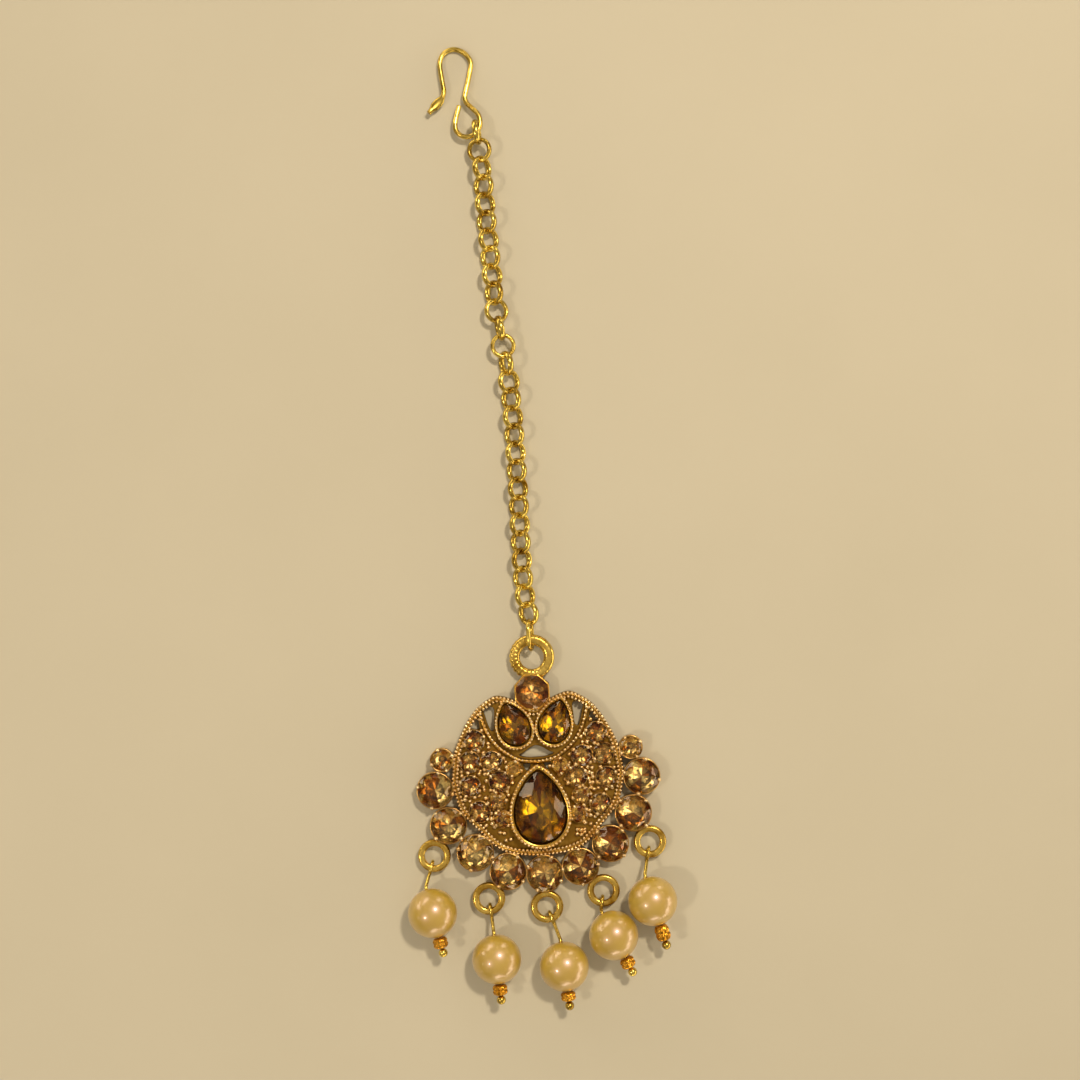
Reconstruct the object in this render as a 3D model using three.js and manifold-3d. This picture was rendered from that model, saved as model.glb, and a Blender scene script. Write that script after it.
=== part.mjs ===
// A maang tikka lying on a table: a wire hook, a chain of round links, a cast and pierced pendant set with
// cut stones, and five pearls on head pins. Millimetres, +Z up, the hook towards +Y, the table at z = 0.
import * as THREE from "three";
import { mergeVertices } from "three/addons/utils/BufferGeometryUtils.js";
import Module from "manifold-3d";

const wasm = await Module();
wasm.setup();

// Room between two pieces that touch on the real jewel.
const clearance = 0.08;

// The pendant's cast body, in plan from the middle of its pear stone.
const pendant_turn = 4.0;
const body_width = 24.6;
const body_rise = 15.5;
const plate_thickness = 1.2;
const rim_width = 0.8;
const rim_height = 1.9;
const arc_width = 0.6;
const arc_height = 1.8;
const recess_floor = 0.9;
const wall_root = 0.3;

// Round stones in the row that frames the body.
const row_stone = 4.8;
const row_collar_wall = 0.2;
const row_collar_height = 2.2;
const row_crown = 1.0;
const row_end_stone = 2.9;
const row_bite = 0.15;

// Round stones of the field inside the body.
const field_stone = 2.76;
const field_collar_wall = 0.16;
const field_collar_height = 1.9;
const field_crown = 0.6;
const field_spacing = 3.0;

// The large pear stone, the two pears above it and the eight-sided stone of the neck.
const centre_stone_width = 7.0;
const centre_stone_length = 10.1;
const centre_collar_wall = 0.85;
const centre_collar_height = 2.9;
const centre_crown = 1.3;
const centre_drop = 0.85;
const top_stone_width = 4.2;
const top_stone_length = 6.0;
const top_collar_wall = 0.55;
const top_collar_height = 2.3;
const top_crown = 0.8;
const top_stone_tilt = 18;
const neck_stone_width = 4.2;
const neck_collar_wall = 0.3;
const neck_collar_height = 2.2;
const neck_crown = 0.8;

// Shares of a stone's outline at its table and at its flat back, and the thickness of its girdle. A pear's
// wall is longer at the point and the round end than at the sides, by the last share.
const table_share = 0.56;
const centre_table_share = 0.5;
const back_share = 0.55;
const girdle_thickness = 0.2;
const pear_end_share = 1.3;

// The ring at the top and the five loops at the bottom.
const top_ring_outer = 6.5;
const top_ring_hole = 3.4;
const top_ring_thickness = 1.2;
const top_ring_middle = 1.45;
const top_ring_side = 0.3;
const loop_outer = 4.7;
const loop_wire = 1.0;
const loop_middle = 1.3;
const loop_bite = 0.2;
const lug_wire = 1.1;

// Pearls, cap beads and head pins.
const pearl_diameter = 7.0;
const pin_wire = 0.5;
const pin_hole_room = 0.1;
const pin_straight = 0.3;
const drop_wire = 3.0;
const cap_diameter = 2.3;
const cap_length = 1.5;
const ball_diameter = 1.3;
const eye_inner = 1.5;

// The chain's round links, the longer link at its lower end, and the hook.
const link_count = 28;
const link_outer = 3.64;
const link_wire = 0.6;
const link_bite = 0.12;
const end_link_length = 4.7;
const end_link_width = 3.5;
const end_link_room = 0.28;
const link_roll = 45;
const end_link_roll = 80;
const hook_length = 12.7;
const hook_width = 4.43;
const hook_wire_width = 0.55;
const hook_wire_height = 0.8;
const hook_sink = 0.38;

// Sides of the round forms, and steps along the lines.
const link_sides = 10;
const wire_sides = 5;
const cast_wire_sides = 6;
const row_sides = 14;
const field_sides = 10;
const pear_sides = 16;
const neck_sides = 8;
const collar_sides = 24;
const ring_sides = 18;
const loop_sides = 12;
const pearl_sides = 12;
const pearl_rings = 8;
const cap_sides = 10;
const ball_sides = 8;
const outline_steps = 54;
const arc_steps = 20;
const window_steps = 12;
const pin_steps = 12;
const hook_steps = 52;
const fine_steps = 400;
const side_stones = 4;

// Half the body's outline, from the neck round to the bottom, as shares of half its width and of its rise.
const body_outline = [
  { across: 0.0, along: 0.839 },
  { across: 0.195, along: 0.925 },
  { across: 0.309, along: 0.962 },
  { across: 0.435, along: 0.98 },
  { across: 0.569, along: 0.93 },
  { across: 0.69, along: 0.855 },
  { across: 0.813, along: 0.716 },
  { across: 0.902, along: 0.574 },
  { across: 0.959, along: 0.458 },
  { across: 0.984, along: 0.335 },
  { across: 1.0, along: 0.213 },
  { across: 0.967, along: 0.065 },
  { across: 0.911, along: -0.071 },
  { across: 0.813, along: -0.168 },
  { across: 0.699, along: -0.265 },
  { across: 0.618, along: -0.342 },
  { across: 0.488, along: -0.432 },
  { across: 0.325, along: -0.483 },
  { across: 0.163, along: -0.503 },
  { across: 0.0, along: -0.51 },
];

// Half the raised arc that runs under the two upper pears, in the same shares.
const arc_line = [
  { across: 0.0, along: 0.355 },
  { across: 0.122, along: 0.365 },
  { across: 0.22, along: 0.384 },
  { across: 0.293, along: 0.419 },
  { across: 0.398, along: 0.481 },
  { across: 0.463, along: 0.535 },
  { across: 0.52, along: 0.6 },
  { across: 0.565, along: 0.671 },
  { across: 0.598, along: 0.748 },
  { across: 0.626, along: 0.826 },
];

// Openings pierced through the body, in the same shares; those off the middle line are cut on both sides.
const side_windows = [
  [
    { across: 0.466, along: 0.877 },
    { across: 0.577, along: 0.877 },
    { across: 0.561, along: 0.787 },
    { across: 0.537, along: 0.716 },
    { across: 0.504, along: 0.661 },
    { across: 0.476, along: 0.671 },
    { across: 0.463, along: 0.774 },
  ],
  [
    { across: 0.659, along: 0.774 },
    { across: 0.724, along: 0.774 },
    { across: 0.772, along: 0.723 },
    { across: 0.724, along: 0.697 },
    { across: 0.646, along: 0.69 },
  ],
  [
    { across: 0.077, along: 0.332 },
    { across: 0.163, along: 0.335 },
    { across: 0.126, along: 0.277 },
  ],
];
const middle_window = [
  { across: 0.203, along: 0.423 },
  { across: 0.122, along: 0.4 },
  { across: 0.0, along: 0.394 },
  { across: -0.122, along: 0.4 },
  { across: -0.203, along: 0.423 },
  { across: -0.146, along: 0.445 },
  { across: -0.073, along: 0.484 },
  { across: 0.0, along: 0.503 },
  { across: 0.073, along: 0.484 },
  { across: 0.146, along: 0.445 },
];

// The stones of one half of the field: steps of the spacing from its middle, and size as a share.
const field_middle = { across: 0.618, along: 0.206 };
const field_layout = [
  { right: 0.38, up: 1.98, size: 1 },
  { right: 0.65, up: 0.97, size: 1 },
  { right: -0.38, up: 0.92, size: 1 },
  { right: -1.42, up: 0.52, size: 0.69 },
  { right: -0.7, up: -0.05, size: 1 },
  { right: 0.72, up: -0.17, size: 1 },
  { right: -0.52, up: -0.98, size: 0.87 },
  { right: 0.35, up: -1.42, size: 1 },
  { right: -0.7, up: -1.83, size: 0.8 },
];

// The drops, left to right: the row stone that carries the loop, the loop's bearing from it, the bare wire
// from loop to pearl as a share of the drop wire, the pearl's swing off straight down, the lean of the pin in
// the pearl, and the cap bead's length as a share of the usual one.
const drops = [
  { carrier: -3, bearing: -29, wire: 0.83, swing: -1.1, lean: 15, cap: 1 },
  { carrier: -1, bearing: -39, wire: 1.0, swing: 8, lean: 6.4, cap: 1 },
  { carrier: 0, bearing: 0, wire: 1.05, swing: 16.6, lean: 8, cap: 0.87 },
  { carrier: 1, bearing: 39, wire: 0.28, swing: 13, lean: 27.4, cap: 1 },
  { carrier: 3, bearing: 26, wire: 0.94, swing: 1.9, lean: 17.4, cap: 1.47 },
];

// The chain's way over the table from its lower end, as steps to the left and up in shares of its length.
const chain_route = [
  [0.0, 0.0],
  [0.008, 0.04],
  [0.015, 0.12],
  [0.023, 0.27],
  [0.034, 0.422],
  [0.043, 0.495],
  [0.056, 0.572],
  [0.069, 0.641],
  [0.077, 0.714],
  [0.088, 0.822],
  [0.097, 0.923],
  [0.108, 1.0],
];
// Links turn their flat sides by turns; near these links the turn runs further over.
const chain_twists = [
  { link: 27, degrees: 40, reach: 1.5 },
  { link: 15.5, degrees: -40, reach: 1.8 },
];

// The hook's wire from its tip over the bend and round the eye, as shares of the hook's width and length.
const hook_line = [
  [-0.855, 0.27],
  [-0.645, 0.354],
  [-0.435, 0.438],
  [-0.371, 0.517],
  [-0.419, 0.629],
  [-0.5, 0.843],
  [-0.419, 0.933],
  [-0.258, 0.983],
  [-0.032, 1.0],
  [0.226, 0.972],
  [0.419, 0.91],
  [0.5, 0.843],
  [0.468, 0.742],
  [0.339, 0.517],
  [0.306, 0.449],
  [0.371, 0.388],
  [0.548, 0.326],
  [0.726, 0.264],
  [0.806, 0.18],
  [0.774, 0.101],
  [0.645, 0.034],
  [0.419, 0.0],
  [0.177, 0.017],
  [0.032, 0.073],
  [0.0, 0.146],
  [0.048, 0.247],
  [0.129, 0.354],
];
// Where on that wire the first link hangs, and the way the chain leaves it.
const hook_hold = { across: 0.69, along: 0.06 };
const hook_hold_bearing = 12;
const hook_room = 0.75;

const radians = THREE.MathUtils.degToRad;
const half_body = body_width / 2;

// A closed mesh as a solid that can be joined and cut.
function solidOf(geometry) {
  const bare = geometry.clone();
  bare.deleteAttribute("normal");
  bare.deleteAttribute("uv");
  const merged = mergeVertices(bare, 1e-4);
  return new wasm.Manifold(
    new wasm.Mesh({
      numProp: 3,
      vertProperties: merged.attributes.position.array,
      triVerts: new Uint32Array(merged.index.array),
    }),
  );
}

function geometryOf(solid) {
  const mesh = solid.getMesh();
  const geometry = new THREE.BufferGeometry();
  geometry.setAttribute("position", new THREE.BufferAttribute(mesh.vertProperties, 3));
  geometry.setIndex(new THREE.BufferAttribute(mesh.triVerts, 1));
  geometry.computeVertexNormals();
  return geometry;
}

const joined = (solids) => solids.reduce((sum, next) => sum.add(next));

function at(entry) {
  return new THREE.Vector2(entry.across * half_body, entry.along * body_rise);
}

function mirrored(point) {
  return new THREE.Vector2(-point.x, point.y);
}

// Points along a smooth closed or open line through the given points.
function smooth(points, closed, count) {
  const knots = points.map((p) => new THREE.Vector3(p.x, p.y, 0));
  const curve = new THREE.CatmullRomCurve3(knots, closed, "centripetal");
  const spaced = curve.getSpacedPoints(count).map((p) => new THREE.Vector2(p.x, p.y));
  return closed ? spaced.slice(0, count) : spaced;
}

// A closed line moved outwards by a distance, for a line that runs clockwise.
function offsetLine(points, distance) {
  return points.map((p, i) => {
    const before = points.at(i - 1);
    const after = points[(i + 1) % points.length];
    const way = after.clone().sub(before).normalize();
    return new THREE.Vector2(p.x - way.y * distance, p.y + way.x * distance);
  });
}

// An upright wall or plate over a plan outline.
function slab(points, low, high, hole) {
  const shape = new THREE.Shape(points);
  if (hole) shape.holes.push(new THREE.Path(hole));
  const settings = { depth: high - low, bevelEnabled: false, steps: 1 };
  return new THREE.ExtrudeGeometry(shape, settings).translate(0, 0, low);
}

function disc(centre, radius, low, high, sides) {
  const round = new THREE.CylinderGeometry(radius, radius, high - low, sides).rotateX(Math.PI / 2);
  return round.translate(centre.x, centre.y, (low + high) / 2);
}

// Plan outlines of the cuts of stone, clockwise round the origin.
function roundOutline(width, sides) {
  return Array.from({ length: sides }, (_, i) => {
    const a = (-2 * Math.PI * i) / sides;
    return new THREE.Vector2((width / 2) * Math.sin(-a), (width / 2) * Math.cos(a));
  });
}

// A pear with its point towards +Y: across is sin t times the root of sin(t / 2), along is cos t.
function pearOutline(width, length, sides) {
  const widest = 0.835;
  return Array.from({ length: sides }, (_, i) => {
    const t = (2 * Math.PI * i) / sides;
    const across = Math.sin(t) * Math.sqrt(Math.sin(t / 2));
    return new THREE.Vector2((width / 2) * (across / widest), (length / 2) * Math.cos(t));
  });
}

// A cut stone over an outline: flat back, spread to the girdle, then a crown of facets up to the table.
function cutStone(outline, low, girdle, top, flat_share) {
  const sides = outline.length;
  const rings = [
    { share: back_share, z: low },
    { share: 1, z: girdle - girdle_thickness },
    { share: 1, z: girdle },
  ];
  const vertices = rings.flatMap((r) => outline.map((p) => [p.x * r.share, p.y * r.share, r.z]));
  const faces = [];
  for (let i = 1; i < sides - 1; i += 1) faces.push([0, i, i + 1]);
  for (let r = 0; r < 2; r += 1) {
    for (let i = 0; i < sides; i += 1) {
      const j = (i + 1) % sides;
      const a = r * sides;
      faces.push([a + i, a + sides + i, a + j], [a + j, a + sides + i, a + sides + j]);
    }
  }
  const rim = 2 * sides;
  const table = 3 * sides;
  const corners = sides / 2;
  for (let k = 0; k < corners; k += 1) {
    const p = outline[2 * k];
    vertices.push([p.x * flat_share, p.y * flat_share, top]);
  }
  for (let k = 0; k < corners; k += 1) {
    const i = 2 * k;
    const next = (k + 1) % corners;
    faces.push([rim + i, table + k, rim + i + 1]);
    faces.push([rim + i + 1, table + k, table + next]);
    faces.push([rim + i + 1, table + next, rim + ((i + 2) % sides)]);
  }
  for (let k = 1; k < corners - 1; k += 1) faces.push([table, table + k + 1, table + k]);
  const geometry = new THREE.BufferGeometry();
  geometry.setAttribute("position", new THREE.Float32BufferAttribute(vertices.flat(), 3));
  geometry.setIndex(faces.flat());
  geometry.computeVertexNormals();
  return geometry;
}

// A straight or bent wire along a path, with its round section.
function wire(path, diameter, sides, steps) {
  const section = new THREE.Shape(roundOutline(diameter, sides));
  return new THREE.ExtrudeGeometry(section, { steps, bevelEnabled: false, extrudePath: path });
}

const half_outline = body_outline.map(at);
const whole_outline = [...half_outline, ...half_outline.slice(1, -1).reverse().map(mirrored)];
const outline = smooth(whole_outline, true, outline_steps);

// The row: stones a collar apart along the line that runs outside the body's rim.
function rowPlaces() {
  const collar = row_stone / 2 + clearance + row_collar_wall;
  const end_collar = row_end_stone / 2 + clearance + row_collar_wall;
  const fine = smooth(whole_outline, true, fine_steps);
  const right_half = fine_steps / 2 + 1;
  const outside = (reach) => offsetLine(fine, reach - row_bite).slice(0, right_half).reverse();
  const line = outside(collar);
  const places = [{ centre: line[0], width: row_stone }];
  const chord = 2 * collar - row_collar_wall;
  let rest = line;
  for (let k = 1; k <= side_stones; k += 1) {
    const last = places.at(-1).centre;
    const index = rest.findIndex((p) => p.distanceTo(last) >= chord);
    rest = rest.slice(index);
    places.push({ centre: rest[0], width: row_stone });
  }
  const last = places.at(-1).centre;
  const upper = outside(end_collar).filter((p) => p.y > last.y);
  const end = upper.find((p) => p.distanceTo(last) >= collar + end_collar - row_collar_wall / 2);
  places.push({ centre: end, width: row_end_stone });
  return places;
}

const right_row = rowPlaces();
const row_places = [
  ...right_row.slice(1).reverse().map((p) => ({ centre: mirrored(p.centre), width: p.width })),
  ...right_row,
];

function fieldPlaces(side) {
  const middle = at(field_middle);
  return field_layout.map((entry) => {
    const x = middle.x + entry.right * field_spacing;
    const y = middle.y + entry.up * field_spacing;
    return { centre: new THREE.Vector2(side * x, y), width: field_stone * entry.size };
  });
}

const top_pear_place = { across: 0.244, along: 0.716 };
const neck_place = new THREE.Vector2(0, body_rise);
const centre_place = new THREE.Vector2(0, -centre_drop);
const neck_half = neck_stone_width / 2 + clearance + neck_collar_wall;
const top_ring_radius = (top_ring_outer + top_ring_hole) / 4;
const top_ring_section = (top_ring_outer - top_ring_hole) / 4;
const ring_rise = neck_place.y + neck_half + top_ring_outer / 2 - top_ring_section;
const ring_place = new THREE.Vector2(top_ring_side, ring_rise);
const loop_radius = (loop_outer - loop_wire) / 2;

function turnedOutline(points, degrees, centre) {
  const zero = new THREE.Vector2();
  return points.map((p) => p.clone().rotateAround(zero, radians(degrees)).add(centre));
}

// Outlines round the pears: the stone's own, grown at its sides and more at its two ends.
function topPear(side, growth) {
  const length = top_stone_length + pear_end_share * growth;
  const place = at(top_pear_place);
  const centre = new THREE.Vector2(side * place.x, place.y);
  const pear = pearOutline(top_stone_width + growth, length, pear_sides);
  return turnedOutline(pear, -side * top_stone_tilt, centre);
}

function centrePear(growth, sides) {
  const length = centre_stone_length + pear_end_share * growth;
  return turnedOutline(pearOutline(centre_stone_width + growth, length, sides), 0, centre_place);
}

function neckOutline(width) {
  const half_step = Math.PI / neck_sides;
  const corners = roundOutline(width / Math.cos(half_step), neck_sides);
  return turnedOutline(corners, THREE.MathUtils.radToDeg(half_step), neck_place);
}

function dropPlaces() {
  return drops.map((entry) => {
    const carrier = row_places[entry.carrier + side_stones + 1];
    const to_loop = carrier.width / 2 + clearance + row_collar_wall + loop_outer / 2 - loop_bite;
    const bearing = radians(entry.bearing);
    const away = new THREE.Vector2(Math.sin(bearing), -Math.cos(bearing));
    const reach = loop_radius + pearl_diameter / 2 + entry.wire * drop_wire;
    return { ...entry, carrier, reach, loop: carrier.centre.clone().addScaledVector(away, to_loop) };
  });
}

const places = dropPlaces();

// Cutters run from under the plate to over the highest wall.
const below_all = -plate_thickness;
const above_all = centre_collar_height + plate_thickness;

// The cast body with its collars, ring and loops as one solid, hollowed for the stones and pierced.
function pendantFrame() {
  const metal = [solidOf(slab(outline, 0, plate_thickness))];
  metal.push(solidOf(slab(outline, wall_root, rim_height, offsetLine(outline, -rim_width).reverse())));
  const half_arc = arc_line.map(at);
  const whole_arc = [...half_arc.slice(1).reverse().map(mirrored), ...half_arc];
  const arc_path = new THREE.CatmullRomCurve3(
    whole_arc.map((p) => new THREE.Vector3(p.x, p.y, (arc_height + wall_root) / 2)),
  );
  const arc_tall = arc_height - wall_root;
  const arc_section = new THREE.Shape([
    new THREE.Vector2(-arc_tall / 2, -arc_width / 2),
    new THREE.Vector2(arc_tall / 2, -arc_width / 2),
    new THREE.Vector2(arc_tall / 2, arc_width / 2),
    new THREE.Vector2(-arc_tall / 2, arc_width / 2),
  ]);
  const arc_settings = { steps: arc_steps, bevelEnabled: false, extrudePath: arc_path };
  metal.push(solidOf(new THREE.ExtrudeGeometry(arc_section, arc_settings)));
  const cuts = [];
  for (const place of row_places) {
    const hollow = place.width / 2 + clearance;
    metal.push(solidOf(disc(place.centre, hollow + row_collar_wall, 0, row_collar_height, row_sides)));
    cuts.push(solidOf(disc(place.centre, hollow, recess_floor, above_all, row_sides)));
  }
  for (const side of [-1, 1]) {
    for (const place of fieldPlaces(side)) {
      const hollow = place.width / 2 + clearance;
      const outer = hollow + field_collar_wall;
      metal.push(solidOf(disc(place.centre, outer, wall_root, field_collar_height, field_sides)));
      cuts.push(solidOf(disc(place.centre, hollow, recess_floor, above_all, field_sides)));
    }
    metal.push(solidOf(slab(topPear(side, 2 * (clearance + top_collar_wall)), wall_root, top_collar_height)));
    cuts.push(solidOf(slab(topPear(side, 2 * clearance), recess_floor, above_all)));
    for (const points of side_windows) {
      const window = smooth(points.map(at), true, window_steps).map((p) => new THREE.Vector2(side * p.x, p.y));
      cuts.push(solidOf(slab(window, below_all, above_all)));
    }
  }
  cuts.push(solidOf(slab(smooth(middle_window.map(at), true, window_steps), below_all, above_all)));
  const centre_walls = centrePear(2 * (clearance + centre_collar_wall), collar_sides);
  metal.push(solidOf(slab(centre_walls, wall_root, centre_collar_height)));
  cuts.push(solidOf(slab(centrePear(2 * clearance, pear_sides), recess_floor, above_all)));
  metal.push(solidOf(slab(neckOutline(2 * neck_half), 0, neck_collar_height)));
  cuts.push(solidOf(slab(neckOutline(neck_stone_width + 2 * clearance), recess_floor, above_all)));
  const ring = new THREE.TorusGeometry(top_ring_radius, top_ring_section, cast_wire_sides, ring_sides);
  const ring_flat = 2 * top_ring_section * Math.cos(Math.PI / cast_wire_sides);
  ring.scale(1, 1, top_ring_thickness / ring_flat);
  ring.translate(ring_place.x, ring_place.y, top_ring_middle);
  metal.push(solidOf(ring));
  for (const place of places) {
    const loop = new THREE.TorusGeometry(loop_radius, loop_wire / 2, cast_wire_sides, loop_sides);
    metal.push(solidOf(loop.translate(place.loop.x, place.loop.y, loop_middle)));
    const root = place.carrier.centre;
    const way = place.loop.clone().sub(root);
    const tip = root.clone().addScaledVector(way, 1 - loop_radius / way.length());
    const lug = new THREE.LineCurve3(
      new THREE.Vector3(root.x, root.y, loop_middle),
      new THREE.Vector3(tip.x, tip.y, loop_middle),
    );
    metal.push(solidOf(wire(lug, lug_wire, cast_wire_sides, 1)));
  }
  return geometryOf(joined(metal).subtract(joined(cuts)));
}

const gold = new THREE.MeshStandardMaterial({ color: 0xa8802e, roughness: 0.38, metalness: 1 });
const pale_gold = new THREE.MeshStandardMaterial({ color: 0xc2a04a, roughness: 0.28, metalness: 1 });
const champagne = new THREE.MeshStandardMaterial({ color: 0xa06c48, roughness: 0.06, metalness: 0.3 });
const amber = new THREE.MeshStandardMaterial({ color: 0xb07412, roughness: 0.05, metalness: 0.3 });
const nacre = new THREE.MeshStandardMaterial({ color: 0xeccb8c, roughness: 0.3, metalness: 0 });

const pendant = new THREE.Group();
pendant.rotation.z = radians(pendant_turn);

function addTo(group, name, geometry, material) {
  const mesh = new THREE.Mesh(geometry, material);
  mesh.name = name;
  group.add(mesh);
  return mesh;
}

addTo(pendant, "pendant_frame", pendantFrame(), gold);

const stone_floor = recess_floor + clearance;

row_places.forEach((place, i) => {
  const stone = cutStone(
    roundOutline(place.width, row_sides),
    stone_floor,
    row_collar_height - clearance,
    row_collar_height + row_crown * (place.width / row_stone),
    table_share,
  );
  addTo(pendant, `row_stone_${i + 1}`, stone.translate(place.centre.x, place.centre.y, 0), champagne);
});

for (const [side, hand] of [
  [-1, "left"],
  [1, "right"],
]) {
  fieldPlaces(side).forEach((place, i) => {
    const stone = cutStone(
      roundOutline(place.width, field_sides),
      stone_floor,
      field_collar_height - clearance,
      field_collar_height + field_crown,
      table_share,
    );
    stone.translate(place.centre.x, place.centre.y, 0);
    addTo(pendant, `field_stone_${hand}_${i + 1}`, stone, champagne);
  });
  const centre = at(top_pear_place);
  const pear = cutStone(
    pearOutline(top_stone_width, top_stone_length, pear_sides),
    stone_floor,
    top_collar_height - clearance,
    top_collar_height + top_crown,
    table_share,
  );
  pear.rotateZ(radians(-side * top_stone_tilt)).translate(side * centre.x, centre.y, 0);
  addTo(pendant, `top_stone_${hand}`, pear, amber);
}

const centre_stone = cutStone(
  pearOutline(centre_stone_width, centre_stone_length, pear_sides),
  stone_floor,
  centre_collar_height - clearance,
  centre_collar_height + centre_crown,
  centre_table_share,
);
addTo(pendant, "centre_stone", centre_stone.translate(centre_place.x, centre_place.y, 0), amber);

const neck_stone = cutStone(
  roundOutline(neck_stone_width, 2 * neck_sides),
  stone_floor,
  neck_collar_height - clearance,
  neck_collar_height + neck_crown,
  table_share,
);
addTo(pendant, "neck_stone", neck_stone.translate(neck_place.x, neck_place.y, 0), champagne);

// One drop: the pearl and cap bead lie on a level pin, whose wire bends down to an eye round the cast loop.
function addDrop(place, number) {
  const turn = radians(pendant_turn);
  const zero = new THREE.Vector2();
  const loop = place.loop.clone().rotateAround(zero, turn);
  const swing = radians(place.swing);
  const lean = radians(place.lean);
  const level = pearl_diameter / 2;
  const ahead = new THREE.Vector3(Math.sin(lean), -Math.cos(lean), 0);
  const pearl_middle = new THREE.Vector3(
    loop.x + place.reach * Math.sin(swing),
    loop.y - place.reach * Math.cos(swing),
    level,
  );
  const along = (distance) => pearl_middle.clone().addScaledVector(ahead, distance);

  const hole = pin_wire / 2 + pin_hole_room;
  const pearl_profile = [];
  const edge = Math.asin(hole / level);
  for (let i = 0; i <= pearl_rings; i += 1) {
    const a = edge + (i / pearl_rings) * (Math.PI - 2 * edge);
    pearl_profile.push(new THREE.Vector2(level * Math.sin(a), -level * Math.cos(a)));
  }
  pearl_profile.push(pearl_profile[0].clone());
  const pearl_shape = new THREE.LatheGeometry(pearl_profile, pearl_sides);
  const pearl = addTo(drops_group, `pearl_${number}`, pearl_shape, nacre);
  pearl.position.copy(pearl_middle);
  pearl.rotation.z = lean;

  const cap_start = level + clearance;
  const cap_reach = cap_length * place.cap;
  const cap_profile = [
    { wide: 0.75, along: 0 },
    { wide: 1, along: 0.35 },
    { wide: 1, along: 0.65 },
    { wide: 0.7, along: 1 },
  ].map((row) => new THREE.Vector2((row.wide * cap_diameter) / 2, -row.along * cap_reach));
  const bore = [new THREE.Vector2(hole, -cap_reach), new THREE.Vector2(hole, 0)];
  const cap_round = [...cap_profile, ...bore, cap_profile[0].clone()].reverse();
  const cap = new THREE.LatheGeometry(cap_round, cap_sides);
  const cap_mesh = addTo(drops_group, `cap_bead_${number}`, cap, gold);
  cap_mesh.position.copy(along(cap_start));
  cap_mesh.rotation.z = lean;

  const ball_middle = along(cap_start + cap_reach + clearance + ball_diameter / 2);
  const entry = along(-level - pin_straight);
  const towards = new THREE.Vector3(entry.x - loop.x, entry.y - loop.y, 0).normalize();
  const eye_radius = (eye_inner + pin_wire) / 2;
  const eye_middle = new THREE.Vector3(loop.x, loop.y, loop_middle).addScaledVector(towards, loop_radius);
  const eye = new THREE.TorusGeometry(eye_radius, pin_wire / 2, wire_sides, ball_sides);
  eye.rotateX(Math.PI / 2).rotateZ(Math.atan2(towards.y, towards.x));
  eye.translate(eye_middle.x, eye_middle.y, eye_middle.z);
  const slant = eye_radius * Math.SQRT1_2;
  const eye_top = eye_middle.clone().addScaledVector(towards, slant);
  eye_top.z += slant;
  const path = new THREE.CurvePath();
  const bend_end = entry.clone().lerp(eye_top, 0.2);
  path.add(new THREE.LineCurve3(ball_middle, along(-level)));
  path.add(new THREE.QuadraticBezierCurve3(along(-level), entry, bend_end));
  path.add(new THREE.LineCurve3(bend_end, eye_top));
  const ball = new THREE.SphereGeometry(ball_diameter / 2, ball_sides, wire_sides);
  ball.translate(ball_middle.x, ball_middle.y, ball_middle.z);
  const pin = solidOf(wire(path, pin_wire, wire_sides, pin_steps)).add(solidOf(eye)).add(solidOf(ball));
  addTo(drops_group, `head_pin_${number}`, geometryOf(pin), pale_gold);
}

const drops_group = new THREE.Group();
places.forEach((place, i) => addDrop(place, i + 1));

// A round or drawn-out link lying in its own XY plane with its length along +Y.
function linkShape(length, width, thickness) {
  const radius = (width - thickness) / 2;
  const stretch = (length - width) / 2;
  const link = new THREE.TorusGeometry(radius, thickness / 2, wire_sides, link_sides);
  const position = link.attributes.position;
  for (let i = 0; i < position.count; i += 1) {
    const y = position.getY(i);
    const shift = Math.abs(y) < radius * 0.3 ? 0 : Math.sign(y) * stretch;
    position.setY(i, y + shift);
  }
  return link;
}

const link_radius = (link_outer - link_wire) / 2;
const link_pitch = 2 * link_radius - link_wire + link_bite;

// The chain's lower end holds the pendant's ring, and its links follow the route a pitch apart.
function chainPlaces() {
  const turn = radians(pendant_turn);
  const up = new THREE.Vector2(-Math.sin(turn), Math.cos(turn));
  const ring = ring_place.clone().rotateAround(new THREE.Vector2(), turn);
  const bar = ring.clone().addScaledVector(up, top_ring_radius);
  const end_inside = end_link_length / 2 - link_wire;
  const end_room = top_ring_section + end_link_room;
  const end_middle = bar.clone().addScaledVector(up, end_inside - end_room);
  const first = end_middle.clone().addScaledVector(up, end_inside + link_radius - link_wire / 2 + link_bite);
  const length = link_pitch * (link_count - 1);
  const knots = chain_route.map(([left, rise]) => new THREE.Vector3(-left, rise, 0));
  const route = new THREE.CatmullRomCurve3(knots, false, "centripetal");
  const scale = length / route.getLength();
  const links = Array.from({ length: link_count }, (_, i) => {
    const share = i / (link_count - 1);
    const step = route.getPointAt(share).multiplyScalar(scale);
    const way = route.getTangentAt(share);
    let twist = 0;
    for (const entry of chain_twists) {
      twist += entry.degrees * Math.exp(-(((i - entry.link) / entry.reach) ** 2));
    }
    const flat = link_roll + Math.abs(twist);
    const roll = (i % 2 ? link_roll : -link_roll) + twist;
    const height = link_radius * Math.sin(radians(flat)) + link_wire / 2;
    return { middle: new THREE.Vector3(first.x + step.x, first.y + step.y, height), way, roll };
  });
  return { end_middle, up, links };
}

const chain_places = chainPlaces();

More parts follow.
